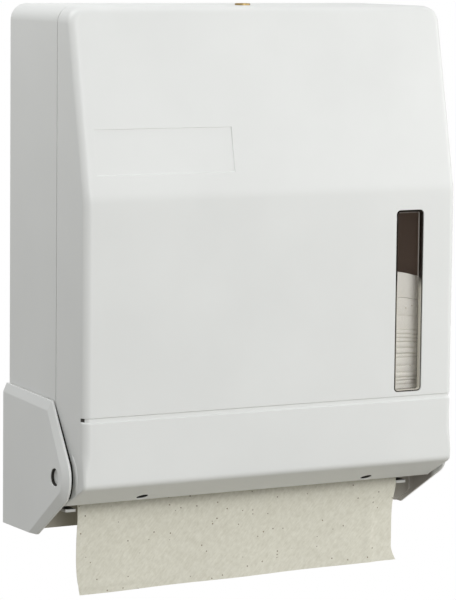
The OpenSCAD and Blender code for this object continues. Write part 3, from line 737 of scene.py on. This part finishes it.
shell = {
    "halfWidth": 147.5, "top": 364.5, "depth": 73.4, "wall": 2.6, "back": 3, "cornerRound": 11.5,
    "backRound": 0.9, "seamRound": 0.45, "inside": (-20, 90),  # how far down and forward the hollow is cut
    "footDepth": 45.5, "cheekDepth": 61.5, "cheekLow": 10.4, "cheekStep": 66.75,
    "cheekBack": 0.6, "cheekTop": [(61.5, 60), (71, 70), (71, 95), (0.6, 98)],
    "notch": (90, -5, 170),  # depth, low end and half width of what is cut off below the front
    "thinning": (36, 0.6, 63, -5, 47),  # depths, the second from the cheek's, then the low and the high end
    "tongue": 1.8, "tongueGap": 0.4, "tongueLength": 5, "tongueLow": 107.5, "lockRoom": 26,
    "screwX": 100, "screwHeights": (90, 310), "screwHole": 3.25, "screwPad": 9, "padHeight": 2,
    "holeEdge": [(0.8, -1), (0.4, 0.1), (0, 0.5), (0, 9)],
    "lockDepth": 66, "lockHole": 4.9,
    "shadeTop": 47, "shadeBeyond": 147,  # inward faces get painted shade below this height, and further out than this across
    "shadeEdge": {"across": (144, 148.1), "depth": (44, 62.5), "top": 62},
}


def casingOutline(inset, low):
    w, top, r = shell["halfWidth"] - inset, shell["top"] - inset, shell["cornerRound"] - inset
    points = [(w, low)] + arc((w - r, top - r), r, 0, 90, 10)
    return points + [(-x, h) for x, h in reversed(points)]


def casingLoft(name, steps, low):
    # steps are inset and depth
    return loft(name, [[place(x, d, h) for x, h in casingOutline(inset, low)] for inset, d in steps])


def casingBox():
    back, seam, depth = shell["backRound"], shell["seamRound"], shell["depth"]
    steps = [(back * (1 - sin(a)), back * (1 - cos(a))) for a in quarter(4)]
    steps += [(0, depth - seam), (seam * 0.3, depth - seam * 0.3), (seam, depth)]
    return casingLoft("rearCasing", steps, 0)


def earRing(side, edge, x):
    lean = earLean(edge)
    return [place(side * (x + lean(d, h)), d, h) for d, h in earOutline(edge)]


def addEar(side):
    levels = (("rimEdge", ear["inner"]), ("rimEdge", ear["inner"] + ear["rim"]), ("faceEdge", ear["outer"]))
    rings = [earRing(side, ear[edge], x) for edge, x in levels]
    count = len(rings[0])
    faces = ringFaces(count, len(rings))
    for base in (0, 2 * count):  # the root and the leaning nose are flat faces
        faces.append(tuple(base + i for i in range(count - 2)))
        faces.append(tuple(base + i for i in (0, count - 3, count - 2, count - 1)))
    made = turnOutwards(meshPiece("ear", [point for ring in rings for point in ring], faces))
    soften(made, ear["soft"], 3, 14)
    pivot = place(side * (ear["outer"] + ear["lean"] * ear["holeReach"]), *ear["pivot"])
    return drill(made, ear["pinHole"], ear["holeEdge"], pivot, (side, 0, 0))


def tongueStrip(side):
    # an L-shaped strip that runs up the side and along the top to the lock
    wall, gap, thick = shell["wall"], shell["tongueGap"], shell["tongue"]
    depth, length = shell["depth"], shell["tongueLength"]
    deep = wall + gap + thick
    section = [(wall - 0.1, depth - length), (wall - 0.1, depth - 0.3), (wall + gap, depth - 0.3),
               (wall + gap, depth + length - 0.6), (wall + gap + 0.5, depth + length), (deep, depth + length),
               (deep, depth - length)]
    lines = []
    for inset, d in section:
        w, top, r = shell["halfWidth"] - inset, shell["top"] - inset, shell["cornerRound"] - inset
        path = [(w, shell["tongueLow"])] + arc((w - r, top - r), r, 0, 90, 8) + [(shell["lockRoom"], top)]
        lines.append([place(side * x, d, h) for x, h in path])
    return loft("tongue", list(zip(*lines)))


def gradeCasing(piece):
    # painted shadow, near black, in the bores of the ears, and painted shade on the inner faces and front
    # edges inside the feet
    limits = shell["shadeEdge"]
    for face in piece.data.polygons:
        middle = face.center - place(0, *ear["pivot"])
        across, depth = abs(face.center.x) / mm, -face.center.y / mm
        height = face.center.z / mm + screwMidHeight
        sideways = abs(face.normal.x)
        bore = hypot(middle.y, middle.z) < (ear["pinHole"] + 0.05) * mm
        inward = face.normal.x * face.center.x < -0.5 * abs(face.center.x)
        edge = limits["across"][0] < across < limits["across"][1] and height < limits["top"] \
            and limits["depth"][0] < depth < limits["depth"][1] and sideways < 0.9
        if bore and across > ear["inner"] and sideways < 0.3:
            face.material_index = 1
        elif edge or inward and (height < shell["shadeTop"] or across > shell["shadeBeyond"]):
            face.material_index = 2


def addCasing():
    piece = casingBox()
    low, front = shell["inside"]
    cut(piece, casingLoft("inside", [(shell["wall"], shell["back"]), (shell["wall"], front)], low))
    front, low, end = shell["notch"]
    foot = [(shell["footDepth"], 0), (shell["cheekDepth"], shell["cheekLow"])]
    notch = [(shell["footDepth"], low)] + foot
    notch += [(shell["cheekDepth"], shell["cheekStep"]), (front, shell["cheekStep"]), (front, low)]
    cut(piece, prism("notch", notch, (-end, end)))
    inner, edge = shell["halfWidth"] - shell["wall"] - 0.3, ear["inner"] + 0.3
    start, past, end, low, high = shell["thinning"]
    hole, pad, rise = shell["screwHole"], shell["screwPad"], shell["padHeight"]
    padOutline = [(hole, -0.2), (pad + 0.6, -0.2), (pad, 0.5), (pad, rise - 0.5), (pad - 0.5, rise),
                  (hole + 0.4, rise), (hole, rise - 0.4)]
    for side in (-1, 1):  # the walls thin out towards the ears
        wedge = ((inner, start), (edge, shell["cheekDepth"] + past), (inner, end))
        cut(piece, loft("thinning", [[place(side * x, d, h) for x, d in wedge] for h in (low, high)]))
    for side in (-1, 1):
        for h in shell["screwHeights"]:
            drill(piece, hole, shell["holeEdge"], place(side * shell["screwX"], 0, h), (0, -1, 0))
    drill(piece, shell["lockHole"], [(0, -5), (0, 3)], place(0, shell["lockDepth"], shell["top"]), (0, 0, 1))
    extras = [addEar(-1), addEar(1), tongueStrip(-1), tongueStrip(1)]
    cheek = [(shell["cheekBack"], 0)] + foot + shell["cheekTop"]
    for side in (-1, 1):
        extras.append(prism("cheek", cheek, (side * (shell["halfWidth"] - 0.05), side * edge)))
        for h in shell["screwHeights"]:
            spot = place(side * shell["screwX"], shell["back"], h)
            extras.append(turned("screwPad", padOutline, spot, (0, -1, 0)))
    join(piece, extras)
    smooth(piece, 38)
    dress(piece, "casing", "paintedShadow", "shade")
    gradeCasing(piece)
    fit(piece, "cabinet", "rear_shell")


addCasing()
print("rear casing is moulded")


# plain moulded and pressed pieces keep their solid's shape, with their edges eased

easedPieces = {
    # node: body, finish, slot, width of the eased edges
    "towel_tray": ("cabinet", "inside", "white_inside", 0.4),
    "chute_panel": ("cabinet", "chute", "dark_panel", 0.4),
    "left_chute_bracket": ("cabinet", "inside", "white_inside", 0.3),
    "right_chute_bracket": ("cabinet", "inside", "white_inside", 0.3),
    "left_towel_guide": ("cabinet", "dark", "dark_panel", 0.4),
    "right_towel_guide": ("cabinet", "dark", "dark_panel", 0.4),
    "front_guide": ("cover", "inside", "white_inside", 0.25),
    "lock_keeper": ("cover", "steel", "plated_steel", 0.2),
    "lock_cam": ("lock", "steel", "plated_steel", 0.2),
    "lock_nut": ("cabinet", "steel", "plated_steel", 0.2),
}


def addEased(node, body, material, slot, width):
    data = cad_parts[node].data.copy()
    with editing(data) as mesh:
        bmesh.ops.remove_doubles(mesh, verts=mesh.verts, dist=2e-6)
        bmesh.ops.dissolve_limit(mesh, angle_limit=radians(1), verts=mesh.verts, edges=mesh.edges)
    data.materials.clear()
    piece = addObject(node + "Eased", data)
    soften(piece, width)
    smooth(piece, 35)
    dress(piece, material)
    if node.endswith("chute_bracket"):  # painted shadow on the upward faces of the tabs, under the lip
        piece.data.materials.append(finish["paintedShadow"])
        for face in piece.data.polygons:
            face.material_index = int(face.normal.z > 0.9)
    fit(piece, body, node)


for node, values in easedPieces.items():
    addEased(node, *values)
print("inner pieces are eased")


# turned pieces: hinge pins, lock barrel and key plug

hingePin = {"seat": 141.9, "head": 8, "headThick": 2, "shank": 5.7, "end": 151.6, "dimple": 2.2}
lock = {"depth": 66, "top": 364.5, "low": 353.9, "head": 5.4, "proud": 1.4, "body": 4.6, "bore": 3.3,
        "threads": 7, "threadCut": 0.3, "plug": 3, "plugLow": 353.6,
        "slotWidth": 1.2, "slotLength": 4.2, "slotCut": 3}


def addTurned(piece, material, body, node):
    smooth(piece, 30)
    dress(piece, material)
    fit(piece, body, node)


def addPin(side, node):
    head, thick, shank, dimple = (hingePin[key] for key in ("head", "headThick", "shank", "dimple"))
    end = hingePin["end"] - hingePin["seat"]
    outline = [(2, -thick), (head - 0.5, -thick), (head, -thick + 0.5), (head, -0.2), (head - 0.2, 0),
               (shank, 0), (shank, end - 0.6), (shank - 0.2, end - 0.2), (shank - 0.6, end),
               (dimple + 0.4, end), (dimple, end - 0.25)]
    piece = turned(node + "Turned", outline, place(side * hingePin["seat"], *ear["pivot"]), (side, 0, 0))
    addTurned(piece, "casing", "cover", node)


def addLock():
    base = place(0, lock["depth"], lock["top"])
    drop = lock["low"] - lock["top"]
    body, bore, head, proud = lock["body"], lock["bore"], lock["head"], lock["proud"]
    outline = [(bore, drop), (body, drop)]
    for k in range(lock["threads"]):  # the thread under the head
        outline += [(body, drop + 1 + k), (body - lock["threadCut"], drop + 1 + k + 0.5)]
    outline += [(body, -2.2), (body, 0), (head, 0), (head, proud - 0.5), (head - 0.15, proud - 0.15),
                (head - 0.5, proud), (bore + 0.3, proud), (bore, proud - 0.3)]
    barrel = turned("lockBarrelTurned", outline, base, (0, 0, 1))
    addTurned(barrel, "brass", "cabinet", "lock_barrel")
    low, high, r = lock["plugLow"] - lock["top"], proud - 0.2, lock["plug"]
    plug = turned("keyPlugTurned", [(r, low), (r, high - 0.3), (r - 0.3, high)], base, (0, 0, 1))
    w, l = lock["slotWidth"] / 2, lock["slotLength"] / 2
    corners = ((-w, -l), (w, -l), (w, l), (-w, l))
    cut(plug, loft("keySlot", [[place(x, lock["depth"] + y, lock["top"] + z) for x, y in corners]
                               for z in (high - lock["slotCut"], high + 2)]))
    addTurned(plug, "brass", "lock", "lock_plug")


addPin(-1, "left_hinge_pin")
addPin(1, "right_hinge_pin")
addLock()
print("pins and lock are turned")


# screws, repeated with Geometry Nodes

def newTree(name, inputs, takesPoints=False):
    tree = bpy.data.node_groups.new(name, "GeometryNodeTree")
    tree.interface.new_socket("Geometry", in_out="OUTPUT", socket_type="NodeSocketGeometry")
    if takesPoints:
        tree.interface.new_socket("Geometry", in_out="INPUT", socket_type="NodeSocketGeometry")
    ids = {}
    for label, value in inputs.items():
        kind = "NodeSocketInt" if isinstance(value, int) else "NodeSocketFloat"
        socket = tree.interface.new_socket(label, in_out="INPUT", socket_type=kind)
        socket.default_value = value
        ids[label] = socket.identifier
    return tree, ids, tree.nodes.new("NodeGroupInput").outputs


def layOut(points, instance, material, **more):
    # sets a copy on each point, dresses it and gives it out
    tree = points.id_data
    placed = addNode(tree, "GeometryNodeInstanceOnPoints", {"Points": points, "Instance": instance, **more})
    real = addNode(tree, "GeometryNodeRealizeInstances", {"Geometry": placed})
    coat = addNode(tree, "GeometryNodeSetMaterial", {"Geometry": real, "Material": finish[material]})
    addNode(tree, "NodeGroupOutput", {"Geometry": coat})


def runTree(piece, tree, ids, values):
    modifier = piece.modifiers.new(tree.name, "NODES")
    modifier.node_group = tree
    for label, value in values.items():
        modifier[ids[label]] = value
    bake(piece)


def moved(geometry, z, turn=0):
    tree = geometry.id_data
    values = {"Geometry": geometry, "Translation": vector(tree, z=z), "Rotation": (0, 0, turn)}
    return addNode(tree, "GeometryNodeTransform", values)


screwShape = {"headTop": 0.72, "armLength": 1.1, "armWidth": 0.22,  # shares of the head's radius
              "arms": ((0, 0.95), (pi / 2, 0.88))}  # turn, and height as a share: no two floors coincide


def screwTree():
    # a dished pan head with a crossed recess on a plain shank, set out on a grid
    tree, ids, given = newTree("screwSet", {
        "Columns": 2, "Rows": 1, "Column Pitch": 0.1, "Row Pitch": 0.1, "Head Radius": 0.0032,
        "Head Height": 0.0018, "Shank Radius": 0.0017, "Shank Length": 0.004})
    radius, height, length = given["Head Radius"], given["Head Height"], given["Shank Length"]
    top, long, wide = (times(radius, screwShape[key]) for key in ("headTop", "armLength", "armWidth"))
    head = addNode(tree, "GeometryNodeMeshCone",
                   {"Vertices": 32, "Radius Bottom": radius, "Radius Top": top, "Depth": height})
    recess = addNode(tree, "GeometryNodeMeshBoolean", {"Mesh 1": head}, operation="DIFFERENCE")
    for turn, rise in screwShape["arms"]:
        arm = addNode(tree, "GeometryNodeMeshCube", {"Size": vector(tree, long, wide, height)})
        arm = moved(arm, times(height, rise), turn)
        feed(recess.node.inputs["Mesh 2"], arm)
    shank = addNode(tree, "GeometryNodeMeshCylinder",
                    {"Vertices": 24, "Radius": given["Shank Radius"], "Depth": length})
    screw = addNode(tree, "GeometryNodeJoinGeometry", {"Geometry": recess})
    feed(screw.node.inputs["Geometry"], moved(shank, times(length, -0.5)))
    values = {}
    for count, pitch, axis in (("Columns", "Column Pitch", "X"), ("Rows", "Row Pitch", "Y")):
        values["Vertices " + axis] = given[count]
        values["Size " + axis] = times(maths("SUBTRACT", given[count], 1), given[pitch])
    grid = addNode(tree, "GeometryNodeMeshGrid", values)
    layOut(grid, screw, "steel")
    return tree, ids


screwSet = screwTree()
lipScrewIn = 7.0  # how far up the holes in the lip the screws sit
outward = lipFrame()[1]
screwSets = {
    # node: body, middle of the set, head's direction, values
    "tray_screws": ("cabinet", place(0, 5.4, 57.4), (0, -1, 0),
                    {"Columns": 4, "Column Pitch": 0.07, "Shank Length": 0.0044}),
    "guide_screws": ("cabinet", place(0, 5, 154.8), (0, -1, 0),
                     {"Rows": 2, "Column Pitch": 0.275, "Row Pitch": 0.108, "Shank Length": 0.004}),
    "lip_screws": ("cover", lipHoleAt(0) - outward * lipScrewIn * mm, outward,
                   {"Column Pitch": 0.181, "Shank Length": 0.0036}),
    "keeper_screws": ("cover", place(0, 80.1, 360.4), (0, 0, -1),
                      {"Column Pitch": 0.02, "Shank Length": 0.0031}),
    "cam_screw": ("lock", place(0, 66, 351.8), (0, 0, -1), {"Columns": 1, "Shank Length": 0.0054}),
}


def addScrews(node, body, middle, headWay, values):
    piece = meshPiece(node + "Set", [], [])
    runTree(piece, *screwSet, values)
    z, x = Vector(headWay).normalized(), Vector((1, 0, 0))
    turn = Matrix((x, z.cross(x), z)).transposed().to_4x4()
    turn.translation = middle
    piece.data.transform(turn)
    smooth(piece, 30)
    fit(piece, body, node)


for node, values in screwSets.items():
    addScrews(node, *values)
for node in ("lens_clips", "lock_washer"):
    dress(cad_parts[node], "steel")
print("screws are set")


# the stack of folded towels, laid up with Geometry Nodes

stack = {
    "halfWidth": 128.0, "back": 18.6, "front": 103.2, "low": 50.6,
    "folds": [  # top of each towel
        53.5, 56.8, 59.6, 63.2, 66.3, 69.8, 72.6, 76, 79.4, 82.3, 85.5, 88.2, 91.1, 95.5, 98.4, 100.5,
        104.2, 108.9, 115, 117.9, 122.2, 126.5, 129.4, 132.3, 135.6, 146, 158.9, 177.2],
    "filled": 0.985,  # share of its height that a towel takes up
    "bulge": 0.8, "ends": 1.2, "stray": 0.35, "seed": 4,
    "sag": 5, "sagFrom": 98, "sagBase": 110,  # the upper towels sag towards their ends
    "gap": (56.6, 59.4), "gapTop": 98.4,  # the leaves of the lower towels meet here, round the next towel
}


def stackTree():
    # lays a folded towel on each point, as thick as the point's own value
    tree, ids, given = newTree("towelStack", {
        "Width": 0.256, "Depth": 0.079, "Bulge": 0.0016, "Ends": 0.0025, "Stray": 0.0005, "Seed": 1}, True)
    # one towel: a unit slab with round folds along its front and back, and softer ends
    slab = addNode(tree, "GeometryNodeMeshCube",
                   {"Size": (1, 1, 1), "Vertices X": 24, "Vertices Y": 9, "Vertices Z": 9})
    spot = axes(tree.nodes.new("GeometryNodeInputPosition").outputs["Position"])
    twice = times(spot["Z"], 1.98)
    fold = maths("SQRT", maths("SUBTRACT", 1.0, times(twice, twice)))
    fold = maths("SUBTRACT", fold, 1.0)
    shaped = []
    for key, size, depth in (("X", "Width", "Ends"), ("Y", "Depth", "Bulge")):
        share = times(maths("DIVIDE", given[depth], given[size]), 2.0)
        share = maths("ADD", times(fold, share), 1.0)
        shaped.append(times(spot[key], share))
    rounded = addNode(tree, "GeometryNodeSetPosition",
                      {"Geometry": slab, "Position": vector(tree, *shaped, spot["Z"])})
    reach = vector(tree, given["Stray"], given["Stray"])
    back = addNode(tree, "ShaderNodeVectorMath", {0: reach, 1: (-1, -1, 0)}, operation="MULTIPLY")
    stray = addNode(tree, "FunctionNodeRandomValue", {"Min": back, "Max": reach, "Seed": given["Seed"]},
                    data_type="FLOAT_VECTOR")
    strewn = addNode(tree, "GeometryNodeSetPosition", {"Geometry": given["Geometry"], "Offset": stray})
    thick = addNode(tree, "GeometryNodeInputNamedAttribute", {"Name": "thick"}, data_type="FLOAT")
    size = vector(tree, given["Width"], given["Depth"], thick)
    layOut(strewn, rounded, "stack", Scale=size)
    return tree, ids


def partLeaves(piece):
    top = place(0, 0, stack["gapTop"]).z
    near, far = stack["gap"]
    with editing(piece.data) as mesh:
        for depth in (near, far):
            lower = [face for face in mesh.faces if face.calc_center_median().z < top]
            crossed = lower + list({edge for face in lower for edge in face.edges})
            crossed += list({vert for face in lower for vert in face.verts})
            bmesh.ops.bisect_plane(mesh, geom=crossed, plane_co=place(0, depth, 0), plane_no=(0, 1, 0))
        middles = [(face, face.calc_center_median()) for face in mesh.faces]
        between = [face for face, spot in middles if spot.z < top and near < -spot.y / mm < far]
        bmesh.ops.delete(mesh, geom=between, context="FACES")
        bmesh.ops.holes_fill(mesh, edges=[edge for edge in mesh.edges if edge.is_boundary], sides=0)


def addStack():
    levels = [stack["low"]] + stack["folds"]
    towels = list(zip(levels, levels[1:]))
    middle = (stack["back"] + stack["front"]) / 2
    piece = meshPiece("foldedTowelStack", [place(0, middle, (low + high) / 2) for low, high in towels], [])
    thick = piece.data.attributes.new("thick", "FLOAT", "POINT")
    for point, (low, high) in zip(thick.data, towels):
        point.value = (high - low) * stack["filled"] * mm
    values = {key.capitalize(): stack[key] * mm for key in ("bulge", "ends", "stray")}
    values.update({"Width": 2 * stack["halfWidth"] * mm, "Depth": (stack["front"] - stack["back"]) * mm,
                   "Seed": stack["seed"]})
    runTree(piece, *stackTree(), values)
    for vert in piece.data.vertices:
        reach = max(0, abs(vert.co.x) / mm - stack["sagFrom"]) / (stack["halfWidth"] - stack["sagFrom"])
        upper = (vert.co.z / mm + screwMidHeight - stack["sagBase"]) / (levels[-1] - stack["sagBase"])
        vert.co.z -= stack["sag"] * max(0, upper) * reach * reach * mm
    partLeaves(piece)
    smooth(piece, 50)
    fit(piece, "cabinet", "towel_stack")


addStack()
print("towels are stacked")


# the towel that hangs out of the slot

towel = {
    "halfWidth": 128.5, "top": 49.6, "lowLeft": -42, "lowRight": -39.2, "depth": 68, "thick": 0.35,
    "columns": 120, "rows": 60, "reach": 46, "reachRows": 12,  # reach is the length still up in the stack
    "lean": 10, "leanFrom": 8, "wave": 0.9, "waves": 2.5,
    "bow": 4.2, "bowHeight": 24, "bowReach": 15, "bowWidth": 34, "flare": 2.4,
    "waist": -16, "waistIn": 40, "waistWidth": 30, "inTop": 2.3, "inLow": 3,
    "crease": 0.9, "creaseIn": 19.5, "creaseReach": 6, "creaseStart": 0.2,
    "hem": 6.5, "hemReach": 3, "hemRise": 0.6,
    "curl": 3.4, "curlOut": 1.2, "curlReach": 14, "curlStretch": 1.4,  # the lower right corner
}


def towelPoint(u, v):
    t = towel
    low = t["lowLeft"] + (t["lowRight"] - t["lowLeft"]) * u
    fall = max(0, v)  # a negative v is the length that is still up in the stack
    h = t["top"] + (low - t["top"]) * fall - t["reach"] * min(0, v)
    d = t["depth"] - t["lean"] * eased((h - t["leanFrom"]) / (t["top"] - t["leanFrom"]))
    d += t["wave"] * fall * sin(2 * pi * t["waves"] * u)
    x = t["halfWidth"] * (2 * u - 1)
    near = exp(-((t["halfWidth"] - x) / t["bowWidth"]) ** 2)  # the right edge stands forward by the slot
    lift = exp(-((h - t["bowHeight"]) / t["bowReach"]) ** 2)
    d += t["bow"] * near * lift
    x += t["flare"] * near * near * lift
    fromFold = abs(t["halfWidth"] - t["creaseIn"] - x)  # from an old fold down the right end
    d += t["crease"] * max(0, 1 - fromFold / t["creaseReach"]) * min(1, fall / t["creaseStart"])
    d += t["hemRise"] * max(0, 1 - abs(h - low - t["hem"]) / t["hemReach"]) * max(0, 1 - 2 * u)
    left = exp(-((t["halfWidth"] * 2 * u) / t["waistWidth"]) ** 2)  # the left edge is widest at its waist
    off = (h - t["waist"]) / (t["waistIn"] if h > t["waist"] else t["waist"] - low)
    x += left * (t["inTop"] if h > t["waist"] else t["inLow"]) * min(1, off * off)
    fromCorner = hypot(t["halfWidth"] - x, (h - low) * t["curlStretch"])
    corner = max(0, 1 - fromCorner / t["curlReach"]) ** 1.5
    return place(x + t["curl"] * corner, d + t["curlOut"] * corner, h)


def addTowel():
    columns, rows, upper = towel["columns"], towel["rows"], towel["reachRows"]
    levels = [k / upper - 1 for k in range(upper)] + [k / rows for k in range(rows + 1)]
    verts = [towelPoint(i / columns, v) for v in levels for i in range(columns + 1)]
    n = columns + 1
    faces = [(j * n + i, j * n + i + 1, (j + 1) * n + i + 1, (j + 1) * n + i)
             for j in range(len(levels) - 1) for i in range(columns)]
    piece = turnOutwards(meshPiece("hangingTowel", verts, faces))
    thick = piece.modifiers.new("thick", "SOLIDIFY")
    thick.thickness = towel["thick"] * mm
    thick.offset = 0
    bake(piece)
    smooth(piece, 60)
    dress(piece, "towel")
    fit(piece, "towel", "hanging_towel")


addTowel()
print("towel hangs from the slot")


# floor, light and background

studio = {
    "floorHeight": -1.1, "floorSize": 1.1, "floorPale": 0.65, "floorColour": (0.55, 0.53, 0.46),
    "fade": (0.3, 0.97),  # shares of the floor's size between which it goes over into the white backdrop
    "sky": [(0.0, (0.16, 0.15, 0.12)), (0.5, (0.4, 0.4, 0.395)), (1.0, (0.42, 0.43, 0.44))],  # going up
    "middle": (0, 60, 170),
    "lamps": [
        # name, azimuth and height in degrees seen from the object, distance, size, watts
        ("keyLight", 0, 18, 2.2, 1.2, 18.6),
        ("rightFill", 60, 14, 1.2, 0.8, 4.6),
        ("topLight", 0, 88, 1.6, 1.0, 1),
        ("leftFill", -100, 56, 0.95, 0.5, 2.55),
    ],
}


def mixShaders(share, first, second, output):
    tree = share.id_data
    mixed = addNode(tree, "ShaderNodeMixShader", {0: share, 1: first, 2: second})
    feed(tree.nodes[output].inputs["Surface"], mixed)


def addSky():
    world = bpy.data.worlds.new("studio")
    world.use_nodes = True
    tree = world.node_tree
    sky = tree.nodes["Background"]
    height = axes(tree.nodes.new("ShaderNodeTexCoord").outputs["Generated"])["Z"]
    feed(sky.inputs["Color"], ramp(spread(height, 0, 1, -1.0, 1.0), studio["sky"]))
    white = addNode(tree, "ShaderNodeBackground", {"Color": (1, 1, 1, 1), "Strength": 1.0})
    path = tree.nodes.new("ShaderNodeLightPath").outputs
    seen = maths("MAXIMUM", path["Is Camera Ray"], path["Is Transmission Ray"])
    seen = maths("MAXIMUM", seen, path["Is Glossy Ray"])  # white to the camera, in metal and through glass
    mixShaders(seen, sky.outputs["Background"], white, "World Output")
    scene.world = world


def addFloor():
    side, z = studio["floorSize"], studio["floorHeight"]
    corners = [(-side, -side, z), (side, -side, z), (side, side, z), (-side, side, z)]
    floor = meshPiece("floor", corners, [(0, 1, 2, 3)])
    material, coords = newMaterial("floorPale")
    setShader(material, {"Base Color": (*studio["floorColour"], 1), "Roughness": 0.9})
    tree = material.node_tree
    shader = tree.nodes["Principled BSDF"]
    flat = addNode(tree, "ShaderNodeVectorMath", {0: coords, 1: (1, 1, 0)}, operation="MULTIPLY")
    away = addNode(tree, "ShaderNodeVectorMath", {0: flat}, operation="LENGTH")
    start, end = (side * share for share in studio["fade"])
    fade = spread(away, studio["floorPale"], 1.0, start, end)
    seen = tree.nodes.new("ShaderNodeLightPath").outputs["Is Camera Ray"]
    glow = addNode(tree, "ShaderNodeEmission", {"Color": (1, 1, 1, 1), "Strength": 1.0})
    mixShaders(times(seen, fade), shader.outputs["BSDF"], glow, "Material Output")
    floor.data.materials.append(material)


def addLamp(name, azimuth, height, distance, size, watts):
    a, e = radians(azimuth), radians(height)
    way = Vector((cos(e) * sin(a), -cos(e) * cos(a), sin(e)))
    data = bpy.data.lights.new(name, "AREA")
    data.shape = "DISK"
    data.size = size
    data.energy = watts
    lamp = addObject(name, data)
    lamp.location = place(*studio["middle"]) + way * distance
    lamp.rotation_euler = (-way).to_track_quat("-Z", "Y").to_euler()


addSky()
addFloor()
for values in studio["lamps"]:
    addLamp(*values)
print("studio is lit")
